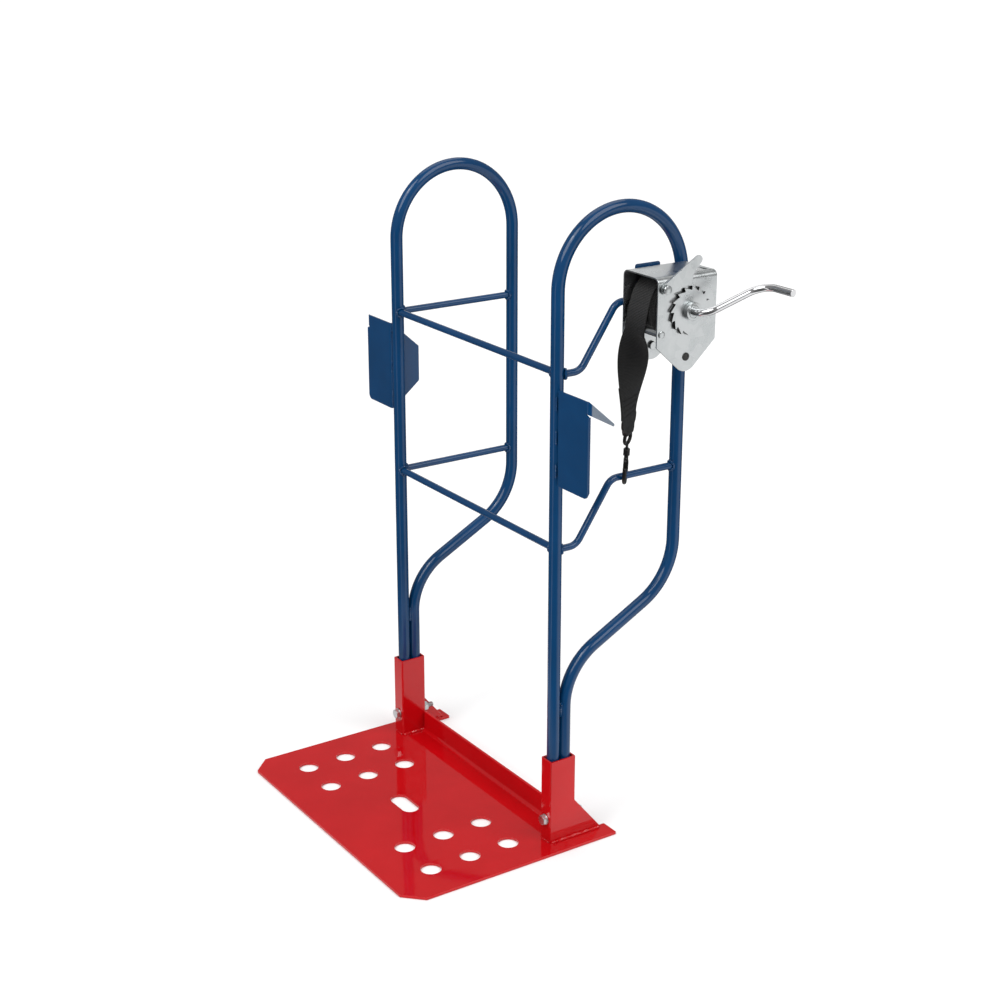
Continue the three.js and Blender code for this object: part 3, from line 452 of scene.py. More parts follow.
def sheet_metal(outer, holes=(), thickness=3.0, edge=0.5):
    """A flat piece cut to an outline, with holes and rounded edges: points are (a, b, height)."""
    loops = [outer if area_of(outer) > 0 else outer[::-1]]
    loops += [hole if area_of(hole) < 0 else hole[::-1] for hole in holes]
    corner = 0.3 * edge
    levels = [(edge, 0), (corner, corner), (0, edge), (0, thickness - edge),
              (corner, thickness - corner), (edge, thickness)]
    points, faces, caps = [], [], []
    for level, (distance, height) in enumerate(levels):
        starts = []
        for loop in loops:
            starts.append(len(points))
            points += [(p.x, p.y, height) for p in inset(loop, distance)]
        if level:
            for start, low, loop in zip(starts, below, loops):
                count = len(loop)
                faces += [(low + k, low + (k + 1) % count, start + (k + 1) % count, start + k)
                          for k in range(count)]
        if level in (0, len(levels) - 1):
            first = starts[0]
            flat = [[Vector(p) for p in points[start:start + len(loop)]]
                    for start, loop in zip(starts, loops)]
            caps += [tuple(first + k for k in triangle) for triangle in tessellate_polygon(flat)]
        below = starts
    return part(points, faces + caps)


def folded(sheet, thickness, folds, basis, origin):
    """Folds a sheet about lines of constant a. Each fold: where it starts, its inner radius, and which (a, b)
    it takes. Every fold is square. The basis gives the directions of a, b and the height."""
    work = bmesh.new()
    corners = [work.verts.new(p) for p in sheet["points"]]
    for face in sheet["faces"]:
        work.faces.new([corners[k] for k in face])
    lengths = [QUARTER * (radius + thickness / 2) for _, radius, _ in folds]
    for (start, _, _), length in zip(folds, lengths):
        for k in range(FOLD_STEPS + 1):
            everything = work.verts[:] + work.edges[:] + work.faces[:]
            bmesh.ops.bisect_plane(work, geom=everything, plane_co=(start + length * k / FOLD_STEPS, 0, 0),
                                   plane_no=X)
    work.verts.ensure_lookup_table()
    work.verts.index_update()
    a, b, height = np.array([v.co for v in work.verts]).T
    p, q = a.copy(), height.copy()
    for (start, radius, taken), length in reversed(list(zip(folds, lengths))):
        takes = taken(a, b)
        centre = thickness + radius
        turn = np.where(takes, np.clip((a - start) / length, 0, 1) * QUARTER, 0)
        beyond = a > start + length
        p = np.where(takes & beyond, p - length, np.where(takes & (a > start), start, p))
        dp, dq = p - start, q - centre
        p = np.where(turn != 0, start + dp * np.cos(turn) - dq * np.sin(turn), p)
        q = np.where(turn != 0, centre + dp * np.sin(turn) + dq * np.cos(turn), q)
    along, beside, up = basis
    points = [Vector(origin) + along * x + beside * y + up * z for x, y, z in zip(p, b, q)]
    faces = [tuple(v.index for v in face.verts) for face in work.faces]
    work.free()
    return part(points, faces)


def everywhere(a, b):
    return np.full(a.shape, True)


def spaced(points, closed):
    """The same route with its points an even step apart."""
    points = [Vector(p) for p in points]
    if closed:
        points = points + [points[0]]
    lengths = [0.0]
    for a, b in zip(points, points[1:]):
        lengths.append(lengths[-1] + (b - a).length)
    count = max(3, round(lengths[-1] / BEAD_STEP))
    made, k = [], 0
    for n in range(count if closed else count + 1):
        target = lengths[-1] * n / count
        while k < len(points) - 2 and lengths[k + 1] < target:
            k += 1
        share = (target - lengths[k]) / max(lengths[k + 1] - lengths[k], 1e-9)
        made.append(points[k].lerp(points[k + 1], share))
    return made


def bead(points, radius, seed, closed=False):
    """A weld bead along a route: uneven ripples that taper away at its ends."""
    draw = random.Random(seed)
    points = spaced(points, closed)
    number = len(points)
    rows = []
    size = 1.0
    for k, (axes, point) in enumerate(zip(frames_along(points, closed), points)):
        size = 0.8 * size + 0.2 * draw.uniform(0.6, 1.4)
        ripple = 1 + 0.16 * sin(tau * k / 3.1) + draw.uniform(-0.05, 0.05)
        taper = 1.0 if closed else min(1.0, (0.35 + k) / 3, (0.35 + number - 1 - k) / 3)
        rows.append(around(point, axes, ring(radius * size * ripple * taper, BEAD_SIDES)))
    return skin(rows, closed)


def end_weld(centre, outward, seed):
    """The bead round a bar's end where it meets an upright tube's side."""
    side = Z.cross(outward)
    reach = BAR_RADIUS + 0.7 * END_WELD
    points = []
    for up, off in ring(reach, 40):
        depth = sqrt(TUBE_RADIUS ** 2 - off ** 2) + 0.4 * END_WELD
        points.append(Vector(centre) + Z * up + side * off + outward * depth)
    return bead(points, END_WELD, seed, closed=True)


ALONG_Y = Matrix(((0, 1, 0, 0), (1, 0, 0, 0), (0, 0, -1, 0), (0, 0, 0, 1)))  # x to y
STAND_UP_X = Matrix(((0, 0, 1, 0), (1, 0, 0, 0), (0, 1, 0, 0), (0, 0, 0, 1)))  # (a, b, height) to (y, z, x)
MIRROR = Matrix.Scale(-1, 4, X)


# ---- floor plate

PLATE = 5.0
PLATE_FRONT, PLATE_HALF, CORNER_Y, CORNER_X = -318, 295, -285, 262
EAR_BACK, EAR_INNER, RELIEF = 107, 258, 234.5
LIP_HALF, LIP_FOLD, LIP_EDGE, LIP_RADIUS = 232.0, 25.0, 72.92, 7.0  # the edge is where it is cut, laid flat
HOLE_ROWS, HOLE_COLUMNS, HOLE = (-231, -152, -73), (133, 220), 18
SLOT_Y, SLOT_REACH, SLOT_RADIUS = -152, 19, 16
SOCKET_FRONT, SOCKET_BACK, SOCKET_TOP = -14.7, 37.3, 162.0
LIP_WELD_X, LIP_WELD = 233.5, ((33, 9), (36, 16), (36.5, 43))


def floor_plate():
    outline = [(PLATE_FRONT, CORNER_X), (CORNER_Y, PLATE_HALF), (EAR_BACK, PLATE_HALF), (EAR_BACK, EAR_INNER),
               (SOCKET_BACK, EAR_INNER), (SOCKET_BACK, RELIEF), (LIP_FOLD, RELIEF), (LIP_FOLD, LIP_HALF),
               (LIP_EDGE, LIP_HALF)]
    outline += [(a, -b) for a, b in outline[::-1]]
    radius = [4, 4, 2, 2, 1, 0, 0, 0, 1.5]
    outline = rounded_loop(outline, radius + radius[::-1], 4)
    holes = [circle(row, side * column, HOLE, 56) for row in HOLE_ROWS for column in HOLE_COLUMNS
             for side in (-1, 1)]
    slot = [(SLOT_Y + SLOT_RADIUS * sin(t),
             SLOT_REACH * copysign(1, cos(t)) + SLOT_RADIUS * cos(t))
            for t in np.linspace(0.001, tau - 0.05, 56)]
    flat = sheet_metal(outline, [*holes, slot], PLATE, 0.7)
    lip = (LIP_FOLD, LIP_RADIUS, lambda a, b: np.abs(b) < LIP_HALF + 1)
    return folded(flat, PLATE, [lip], (Y, X, Z), (0, 0, 0))


def lip_weld(side):
    return bead([(side * LIP_WELD_X, y, z) for y, z in LIP_WELD], 2.0, 11 + side)


make("floor_plate", "stand", "red_paint", [floor_plate(), lip_weld(-1), lip_weld(1)], [RED], "base_plate",
     sharp=30)


# ---- sockets and their bolts

SLEEVE_HALF, SLEEVE_WALL, SLEEVE_BOTTOM = 15.0, 3.0, PLATE + GAP
FLARE_FOOT, FLARE_EDGE, FLARE_TOP = 93, 2.5, 76
BOLT_Z, BOLT_RADIUS, BOLT_PITCH, BOLT_END = 47.0, 5.0, 1.5, 62
BOLT_FLATS, BOLT_HEAD, NUT_HEIGHT = 17, 6.4, 8.4
WASHER, WASHER_BORE, WASHER_RADIUS = 2, 5.4, 10


def socket(side):
    corners = [(-SLEEVE_HALF, SOCKET_FRONT), (SLEEVE_HALF, SOCKET_FRONT), (SLEEVE_HALF, SOCKET_BACK),
               (-SLEEVE_HALF, SOCKET_BACK)]
    inner = [(a - copysign(SLEEVE_WALL, a), b + (SLEEVE_WALL if b < 0 else -SLEEVE_WALL)) for a, b in corners]
    # The outer side stands back a little, behind the plate that covers it.
    corners = [(a - side * 0.5 if a * side > 0 else a, b) for a, b in corners]
    sleeve = moved(sheet_metal(rounded_loop(corners, 3.2), [rounded_loop(inner, 1.2, 4)],
                               SOCKET_TOP - SLEEVE_BOTTOM), z=SLEEVE_BOTTOM)
    flare = [(SOCKET_FRONT + 0.3, SLEEVE_BOTTOM), (FLARE_FOOT, SLEEVE_BOTTOM),
             (FLARE_FOOT, SLEEVE_BOTTOM + FLARE_EDGE), (SOCKET_BACK - 0.4, FLARE_TOP),
             (SOCKET_BACK - 0.3, SOCKET_TOP), (SOCKET_FRONT + 0.3, SOCKET_TOP)]
    flare = sheet_metal(rounded_loop(flare, [0, 0.8, 1, 6, 0.6, 0.6], 5), (), SLEEVE_WALL, 1.0)
    flare = moved(placed(flare, STAND_UP_X), x=SLEEVE_HALF - SLEEVE_WALL if side > 0 else -SLEEVE_HALF)
    foot, low, front = SLEEVE_HALF + 0.8, PLATE + 0.7, SOCKET_FRONT + 1
    behind = side * (SLEEVE_HALF - SLEEVE_WALL - 0.6)
    runs = (
        ((side * foot, front), (side * foot, FLARE_FOOT - 2), 3.6, 0),
        ((-side * foot, front), (-side * foot, SOCKET_BACK - 2), 4.0, 5),
        ((4 - SLEEVE_HALF, SOCKET_FRONT - 0.6), (SLEEVE_HALF - 4, SOCKET_FRONT - 0.6), 1.7, 9),
        ((behind, SOCKET_BACK + 2), (behind, FLARE_FOOT - 5), 2.2, 15),
    )
    beads = [bead([(*start, low), (*end, low)], size, 20 + side + seed) for start, end, size, seed in runs]
    return [moved(piece, x=side * HALF) for piece in [sleeve, flare, *beads]]


def socket_bolt(name, side):
    def on_bolt(*pieces):
        return [moved(placed(piece, ALONG_Y), x=side * HALF, z=BOLT_Z) for piece in pieces]

    front, back = SOCKET_FRONT - GAP - WASHER, SOCKET_BACK + GAP
    shank = rod([X * (front - 1), X * (back + 12)], BOLT_RADIUS - 0.1, 32)
    head = hexagon(BOLT_FLATS, front - GAP - BOLT_HEAD, front - GAP, crowned=(True, False))
    thread = threaded(BOLT_RADIUS, BOLT_PITCH, back + 11, BOLT_END)
    zinc(f"socket_screw_{name}", f"socket_bolt_{name}", on_bolt(head, shank, thread))
    for place, start in (("front", front), ("back", back)):
        washer = collar(start, start + WASHER, WASHER_BORE, WASHER_RADIUS, 0.3, 56)
        zinc(f"{place}_washer_{name}", f"socket_{place}_washer_{name}", on_bolt(washer))
    start = back + WASHER + GAP
    nut = hexagon(BOLT_FLATS, start, start + NUT_HEIGHT, bore=BOLT_RADIUS + GAP)
    zinc(f"socket_hex_nut_{name}", f"socket_nut_{name}", on_bolt(nut))


for name, side in SIDES:
    make(f"socket_sleeve_{name}", "stand", "red_paint", socket(side), [RED], f"socket_{name}")
    socket_bolt(name, side)


# ---- hoops, rails and side bars

FOOT, ARCH_TOP, BACK_LEG, CLOSE_LEG = 6.0, 1106.0, 250.0, 22.6
BEND_TOP, BEND_FOOT = 445, 324
HOOP_BENDS = [125, 125, 120, 115]
LEG_WELD = ((0, 238), (0.8, 250), (2.0, 266))
BAR_END = 10.7  # from a tube's axis to the end of a bar that is welded to it
RISE, RISE_START, RISE_END, RISE_BEND = 104, 42, 112, 25


def hoop(side):
    corners = [(0, FOOT), (0, ARCH_TOP), (BACK_LEG, ARCH_TOP), (BACK_LEG, BEND_TOP), (CLOSE_LEG, BEND_FOOT),
               (CLOSE_LEG, FOOT)]
    parts = [tube(rounded([(side * HALF, y, z) for y, z in corners], HOOP_BENDS, 3))]
    for face in (-1, 1):
        route = [(side * HALF + face * 4.4, CLOSE_LEG / 2 + y, z) for y, z in LEG_WELD]
        parts.append(bead(route, 3.6, 40 + side + 7 * face))
    return parts


def cross_rail(z, seed):
    ends = [Vector((side * (HALF - BAR_END), 0, z)) for side in (-1, 1)]
    welds = [end_weld((-HALF, 0, z), X, seed - 1), end_weld((HALF, 0, z), -X, seed + 1)]
    return [rod(ends, BAR_RADIUS, 32), *welds]


def side_bar(side, z, rise, offset, seed):
    x, top = side * HALF + offset, z + rise
    route = [Vector((x, BAR_END, z)), Vector((x, BACK_LEG - BAR_END, top))]
    if rise:
        route = rounded([route[0], (x, RISE_START, z), (x, RISE_END, top), route[1]], [RISE_BEND, RISE_BEND])
    welds = [end_weld((x, 0, z), Y, seed), end_weld((x, BACK_LEG, top), -Y, seed + 1)]
    return [rod(route, BAR_RADIUS, 32), *welds]


for name, side in SIDES:
    blue(f"tube_hoop_{name}", f"hoop_{name}", hoop(side))
for name, z, offset in (("upper", 850, 5), ("lower", 548, 0)):
    blue(f"front_rail_{name}", f"cross_rail_{name}", cross_rail(z, 60 + z))
    blue(f"straight_bar_{name}", f"side_bar_{name}_left", side_bar(-1, z, 0, 0, 80 + z))
    blue(f"raised_bar_{name}", f"side_bar_{name}_right", side_bar(1, z - 2, RISE, offset, 90 + z))


# ---- brackets

WING_LENGTH, FACE_LENGTH, EAR_LENGTH = 51.5, 72.7, 44.5
FOLD_RADIUS, BRACKET_SHEET, BRACKET_AT = 4.0, 3.0, (11.3, 50, 0)
BRACKET_BOTTOM, BRACKET_TOP, WING_LOW, WING_HIGH = 664, 826, 710, 776
EAR_TIP_LOW, EAR_TIP_HIGH, EAR_CUT, EAR_SLOPE = 777.5, 782.5, 805.5, 0.54
PALE_FROM_X, PALE_FROM_Y = 97.9, -2  # the ear is behind these
TACKS, TACK = (676, 733, 790), 24


def bracket():
    """Cut flat from the wing's tip (a = 0), across the face, to the ear's tip."""
    arc = QUARTER * (FOLD_RADIUS + BRACKET_SHEET / 2)
    ear_fold = WING_LENGTH + arc + FACE_LENGTH
    face_edge = ear_fold + 7
    ear_tip = ear_fold + arc + EAR_LENGTH
    outline = [(0, WING_LOW), (WING_LENGTH + 4, BRACKET_BOTTOM), (face_edge, BRACKET_BOTTOM),
               (face_edge, 801), (ear_fold, EAR_CUT - 1.1), (ear_fold, EAR_CUT + 1.1), (ear_tip, EAR_TIP_LOW),
               (ear_tip, EAR_TIP_HIGH), (ear_fold + 4, BRACKET_TOP), (WING_LENGTH + 4, BRACKET_TOP),
               (0, WING_HIGH)]
    outline = rounded_loop(outline, [5, 3, 10, 1, 0, 0, 1.5, 1.5, 3, 3, 2])

    def ear(a, b):
        return (a > face_edge) | (b > EAR_CUT - EAR_SLOPE * (a - ear_fold))

    folds = [(WING_LENGTH, FOLD_RADIUS, everywhere), (ear_fold, FOLD_RADIUS, ear)]
    return folded(sheet_metal(outline, (), BRACKET_SHEET), BRACKET_SHEET, folds, (-Y, Z, X), BRACKET_AT)


def bracket_parts(side):
    bent = bracket()
    painted, pale_part = [], []
    for face in bent["faces"]:
        middle = sum((bent["points"][k] for k in face), Vector()) / len(face)
        (pale_part if middle.x > PALE_FROM_X and middle.y > PALE_FROM_Y else painted).append(face)
    parts = [{**bent, "faces": painted}, {**bent, "faces": pale_part, "material": 1}]
    parts += [bead([(10.4, -8.0, low), (10.4, -8.0, low + TACK)], 1.9, 130 + low) for low in TACKS]
    return [moved(placed(p, MIRROR) if side < 0 else p, x=side * HALF) for p in parts]


for name, side in SIDES:
    blue(f"bent_bracket_{name}", f"bracket_{name}", bracket_parts(side), [BLUE, PALE])


# ---- winch frame and carrier

AXIS_Y, AXIS_Z = 181.0, 950.0
WINCH_IN, WINCH_OUT, WINCH_SHEET, WINCH_BEND = 14.6, 104.5, 2.5, 10.0
WINCH_FRONT, WINCH_BACK, WINCH_TOP, SHOULDER = 118.0, 237.5, 1008.2, 896.0
INNER_FACE, OUTER_FACE = 17.4, 101.7  # just inside the side plates
LOBE_Y, LOBE_Z, LOBE = 178.0, 874.0, 24.0
GUIDE_Y, GUIDE_Z, GUIDE_RADIUS = 127, 917, 6
PAWL_Y, PAWL_Z, PAWL_X = 131.0, 990.0, 105.4
BUSH_HOLE, SMALL_HOLE, LOBE_HOLE = 13.3, 4.3, 6
WEB_SLOT_A, WEB_SLOT_Y = (23.5, 2.5), (223.5, 229)
SCREWS = (("upper", 229, 992), ("lower", LOBE_Y, LOBE_Z))
SCREW_RADIUS, SCREW_FLATS = 4.0, 13
CARRIER_X, CARRIER_FRONT, CARRIER_BACK, CARRIER_BOTTOM, CARRIER_TOP = 11.3, 136, 262, 862, 998
TAB_FRONT, TAB_BACK, TAB_TOP = 143, 193, 1012


def at_axis(*pieces):
    return [moved(piece, x=HALF, y=AXIS_Y, z=AXIS_Z) for piece in pieces]


def lobe():
    """The side plate's lower edge as (y, z), from the back shoulder round the lobe to the front one."""
    headings = []
    for y, sign in ((WINCH_BACK, -1), (WINCH_FRONT, 1)):
        to_centre = Vector((LOBE_Y - y, LOBE_Z - SHOULDER))
        tilt = asin(LOBE / to_centre.length)
        headings.append(atan2(to_centre.y, to_centre.x) - sign * (tilt + QUARTER))
    start, end = headings
    while start < end:
        start += tau
    while start > end + tau:
        start -= tau
    arc = arc_points(LOBE_Y, LOBE_Z, LOBE, start, end, 25)
    return [(WINCH_BACK, SHOULDER), *arc, (WINCH_FRONT, SHOULDER)]


def winch_channel():
    inner_radius = WINCH_BEND - WINCH_SHEET
    arc = QUARTER * (inner_radius + WINCH_SHEET / 2)
    bottom, top = LOBE_Z - LOBE, WINCH_TOP - WINCH_BEND
    first = top - bottom
    second = first + arc + WINCH_OUT - WINCH_IN - 2 * WINCH_BEND

    def inner(y, z):
        return z - bottom, y

    def outer(y, z):
        return second + arc + top - z, y

    outline = [inner(y, z) for y, z in lobe()] + [outer(y, z) for y, z in lobe()[::-1]]
    holes = [circle(*side(y, z), radius) for side in (inner, outer) for y, z, radius in
             ((AXIS_Y, AXIS_Z, BUSH_HOLE), (GUIDE_Y, GUIDE_Z, SMALL_HOLE), (LOBE_Y, LOBE_Z, LOBE_HOLE))]
    holes += [circle(*inner(*SCREWS[0][1:]), SMALL_HOLE), circle(*outer(PAWL_Y, PAWL_Z), SMALL_HOLE)]
    (a0, a1), (y0, y1) = WEB_SLOT_A, WEB_SLOT_Y
    a0, a1 = second - a0, second - a1
    web_slot = rounded_loop([(a0, y0), (a1, y0), (a1, y1), (a0, y1)], 2.6)
    flat = sheet_metal(outline, [*holes, web_slot], WINCH_SHEET, 0.35)
    folds = [(first, inner_radius, everywhere), (second, inner_radius, everywhere)]
    return moved(folded(flat, WINCH_SHEET, folds, (Z, Y, X), (WINCH_IN, 0, bottom)), x=HALF)


def carrier():
    outline = [(CARRIER_FRONT, SHOULDER), (LOBE_Y - LOBE, CARRIER_BOTTOM), (LOBE_Y + LOBE, CARRIER_BOTTOM),
               (CARRIER_BACK, SHOULDER), (CARRIER_BACK, CARRIER_TOP), (TAB_BACK, CARRIER_TOP),
               (TAB_BACK, TAB_TOP), (TAB_FRONT, TAB_TOP), (TAB_FRONT, CARRIER_TOP),
               (CARRIER_FRONT, CARRIER_TOP)]
    outline = rounded_loop(outline, [2, 3, 3, 4, 5, 2, 4, 4, 1.5, 3])
    holes = [circle(AXIS_Y, AXIS_Z, 16), *(circle(y, z, SMALL_HOLE, 32) for _, y, z in SCREWS[::-1])]
    flat = moved(placed(sheet_metal(outline, holes), STAND_UP_X), x=CARRIER_X)
    edge = BACK_LEG - 5
    welds = [bead([(9.6, edge, low), (9.6, edge, low + 26)], 2.2, 150 + low) for low in (905, 962)]
    return [moved(p, x=HALF) for p in [flat, *welds]]


def screw():
    start = WINCH_IN + WINCH_SHEET + GAP
    head = hexagon(SCREW_FLATS, start, start + 4.5, crowned=(False, True))
    end = placed(threaded(SCREW_RADIUS, 1.25, -5, -2.3), Matrix.Rotation(pi, 4, "Z"))
    return [head, rod([X * 4, X * 19], SCREW_RADIUS - 0.1, 28), end]


zinc("winch_channel", "winch_frame", [winch_channel()], sharp=30)
blue("carrier_sheet", "winch_carrier", carrier())
for name, y, z in SCREWS:
    zinc(f"winch_screw_{name}", f"winch_bolt_{name}", [moved(p, x=HALF, y=y, z=z) for p in screw()])
    zinc(f"winch_hex_nut_{name}", f"winch_nut_{name}",
         [moved(hexagon(SCREW_FLATS, 5, 11, bore=SCREW_RADIUS + GAP), x=HALF, y=y, z=z)])

plug = turned([(100.2, 0), (100.2, 7.6), (100.6, 8), (OUTER_FACE, 8), (OUTER_FACE, 5.7), (104.8, 5.7),
               (104.8, 6.8), (105.4, 6.6), (105.8, 5.8), (105.8, 4.2), (105.1, 3.6), (105.1, 0)])
plug = moved(plug, x=HALF, y=LOBE_Y, z=LOBE_Z)
make("rubber_plug", "stand", "black_rubber", [plug], [RUBBER], "access_plug")

guide = turned([(14.9, 0), (14.9, 4), (INNER_FACE, 4), (INNER_FACE, 5.6), (17.8, GUIDE_RADIUS),
                (101.3, GUIDE_RADIUS), (OUTER_FACE, 5.6), (OUTER_FACE, 4), (104.8, 4), (104.8, 6), (105.6, 6),
                (106.3, 5), (106.5, 3), (106.5, 0)])
zinc("guide_bar", "strap_guide", [moved(guide, x=HALF, y=GUIDE_Y, z=GUIDE_Z)])

# A flanged bush's section as (distance out from the side plate's inner face, radius).
BUSH = [(-2, 10.2), (2.8, 10.2), (2.8, 12.7), (2.5, 13), (0, 13), (0, 15.7), (-0.3, 16), (-1.7, 16),
        (-2, 15.7), (-2, 10.2)]
for name, face, outward in (("inner", INNER_FACE, -1), ("outer", OUTER_FACE, 1)):
    bush = turned([(face + outward * distance, radius) for distance, radius in BUSH])
    make(f"{name}_bush", "stand", "bush_bronze", at_axis(bush), [BRONZE], f"bush_{name}")


# ---- drum, ratchet wheel and crank

SHAFT, SHAFT_BORE, CORE = 10, 10.3, 18  # the radius of the shaft, of the holes for it, and of the core
TEETH, ROOT, TIP, TIP_SHARE, STEEP = 16, 34, 40, 0.94, radians(87.8)
COLLAR, COLLAR_X = 15, (110.5, 118.5)
CRANK_ROUTE, CRANK_BENDS = [(92, 0, 0), (144, 0, 0), (165, 102, 39), (234, 102, 39)], [28, 36]
STRAP_X, STRAP_HALF, STRAP_THICK, ROLL = 46.0, 25.0, 1.8, 54.5
LEAVE = 6.4  # degrees above the drum's axis, where the webbing leaves the roll
ROLL_STEPS, LAYER = 56, 2.01  # points round one turn of the roll, and its pitch from turn to turn


def ratchet():
    outline = []
    for tooth in range(TEETH):
        for radius, share in ((ROOT, 0), (TIP, TIP_SHARE), (TIP, 1)):
            outline.append(polar(radius, STEEP + (tooth + share) * tau / TEETH))
    wheel = sheet_metal(outline, [circle(0, 0, SHAFT_BORE)], 5, 0.3)
    # The faces through the wheel's thickness, its tooth flanks, get the black material: painted shade for the
    # dark gaps between the teeth.
    flats, shade_painted_flanks = [], []
    for face in wheel["faces"]:
        heights = [wheel["points"][k].z for k in face]
        (shade_painted_flanks if max(heights) - min(heights) > 1 else flats).append(face)
    halves = [{**wheel, "faces": faces, "material": kind} for kind, faces in enumerate((flats, shade_painted_flanks))]
    return at_axis(*(moved(placed(half, STAND_UP_X), x=105.1) for half in halves))


shaft = turned([(12, 0), (12, 9.4), (12.6, SHAFT), (118.4, SHAFT), (119, 9.4), (119, 6.3), (90, 6.3),
                (90, 0)])
zinc("winch_shaft", "drum_shaft", at_axis(shaft), "drum")
zinc("winch_core", "drum_core", at_axis(collar(21, 98, SHAFT_BORE, CORE, 0.5)), "drum")
# The black on the ratchet's flanks is painted shade.
make("ratchet", "drum", "zinc_plate", ratchet(), [ZINC, BLACK_STEEL_AND_SHADE], "ratchet_wheel")
zinc("drive_collar", "crank_collar", at_axis(collar(*COLLAR_X, SHAFT_BORE, COLLAR, 0.6)), "drum")
pin_x, pin_half = X * sum(COLLAR_X) / 2, Z * (COLLAR + 0.6)
zinc("drive_pin", "crank_pin", at_axis(rod([pin_x - pin_half, pin_x + pin_half], 2, 24, chamfer=0.4)), "drum")
crank = rod(rounded(CRANK_ROUTE, CRANK_BENDS, 3), 6, 40, chamfer=0.5)
make("crank_bar", "drum", "chrome_bar", at_axis(crank), [CHROME], "crank")


def strap_loop(half, steps=10):
    """The webbing's section as (across, through), with rounded selvedges."""
    edge_radius = STRAP_THICK / 2
    flat = [-half + edge_radius + (2 * half - STRAP_THICK) * k / steps for k in range(steps + 1)]
    edge = [(half - edge_radius + edge_radius * cos(t), edge_radius * sin(t))
            for t in (QUARTER / 2, 0, -QUARTER / 2)]
    over = [(a, edge_radius) for a in flat]
    under = [(a, -edge_radius) for a in flat[::-1]]
    return over + edge + under + [(-a, -b) for a, b in edge]


def roll():
    """The webbing wound on the drum's core as one long spiral."""
    first, last = CORE + 0.4 + STRAP_THICK / 2, ROLL - STRAP_THICK / 2
    turns = (last - first) / LAYER
    steps = int(turns * ROLL_STEPS)
    section = strap_loop(STRAP_HALF, 4)
    rows, flats = [], []
    length = 0.0
    for k in range(steps + 1):
        share = k / steps
        radius = first + (last - first) * share
        angle = radians(180 - LEAVE) + tau * turns * (share - 1)
        length += radius * tau * turns / steps
        wander = 0.5 * sin(angle * 0.61) + 0.3 * sin(angle * 0.17)
        rows.append([(STRAP_X + a * 0.988 + wander, *polar(radius + b, angle)) for a, b in section])
        flats += [(a, length) for a, _ in section]
    return skin(rows, flat=flats)


make("wound_webbing", "drum", "webbing", at_axis(roll()), [WOUND_SHEEN_LIT], "strap_roll", sharp=50)


# ---- pawl

PAWL_TIP, PAWL_HALF, PAWL_EYE = (195 - PAWL_Y, 1030.5 - PAWL_Z), 7, 9
PAWL_UNDERSIDE = [(21, -6.5), (37.5, 1.5), (41, 1.6), (47.8, 0.4), (51.3, 0.4), (51.6, 4), (54, 18)]
RIVET = [(99.2, 0), (99.2, 5.5), (99.8, 6.5), (OUTER_FACE, 7.5), (OUTER_FACE, 4), (112.4, 4), (112.4, 7.2),
         (113, 7.5), (114.2, 6.9), (115.2, 4.4), (115.4, 0)]
SPRING_X, SPRING_LENGTH, SPRING_RADIUS, SPRING_WIRE = 109.7, 1.7, 5.2, 0.55


def at_pawl(piece):
    return [moved(piece, x=HALF, y=PAWL_Y, z=PAWL_Z)]


def pawl():
    y, z = PAWL_TIP
    lean = atan2(z, y)
    outline = arc_points(y, z, PAWL_HALF, lean - QUARTER, lean + QUARTER, 17)
    outline += arc_points(0, 0, PAWL_EYE, lean + QUARTER, 3 * QUARTER, 25)
    lever = sheet_metal(outline + PAWL_UNDERSIDE, [circle(0, 0, SMALL_HOLE)], 4, 0.4)
    return moved(placed(lever, STAND_UP_X), x=PAWL_X)


def torsion_spring():
    steps = 96
    angles = [tau * k / 32 + 0.4 for k in range(steps + 1)]
    return rod([Vector((SPRING_X + SPRING_WIRE + SPRING_LENGTH * k / steps, *polar(SPRING_RADIUS, t)))
                for k, t in enumerate(angles)], SPRING_WIRE, 10)


zinc("pawl_lever", "pawl", at_pawl(pawl()), "pawl_arm")
zinc("pivot_rivet", "pawl_rivet", at_pawl(turned(RIVET)))
zinc("torsion_spring", "pawl_spring", at_pawl(torsion_spring()))


# ---- strap span

BEND, ROD = 16.0, 3.6  # the hook's bend and rod
HOOKED_BAR = Vector((HALF, 142, 650))
GUIDE = Vector((HALF + STRAP_X, GUIDE_Y - GUIDE_RADIUS - 1.2, GUIDE_Z))
PULL = (GUIDE - HOOKED_BAR).normalized()
HOOK_CENTRE = HOOKED_BAR + PULL * (BEND - ROD - BAR_RADIUS - 1.2)
PLANE_TURN = radians(-42)
EYE_W, EYE, EYE_ROD = 67.2, 11.0, 3.0
STRAP_END = HOOK_CENTRE + PULL * (EYE_W + EYE)
TWIST, TWIST_START, TWIST_EASE = 117.0, 8, 1.6
SEWN, DOUBLED = 30.0, 56
SOFT = 24.0  # how far above and below the guide bar the webbing takes to turn towards the hook
TOUCH_Y, TOUCH_Z = polar(ROLL + 0.2 + STRAP_THICK / 2, radians(LEAVE))
# The sewn end narrows round the eye: distance along it, share of the width, and thickness there.
SEWN_END = ((4, 1.0, 4.0), (10, 0.98, 4.4), (16, 0.93, 4.4), (21, 0.76, 5.2),
            (26, 0.56, 9.6), (29, 0.49, 10.2), (33, 0.44, 9.8), (34.8, 0.42, 6.0))


def level_at(turn, along=PULL):
    """The level direction at a turn in degrees, made square to the strap."""
    flat = Vector((*polar(1, radians(turn)), 0))
    return (flat - along * flat.dot(along)).normalized()


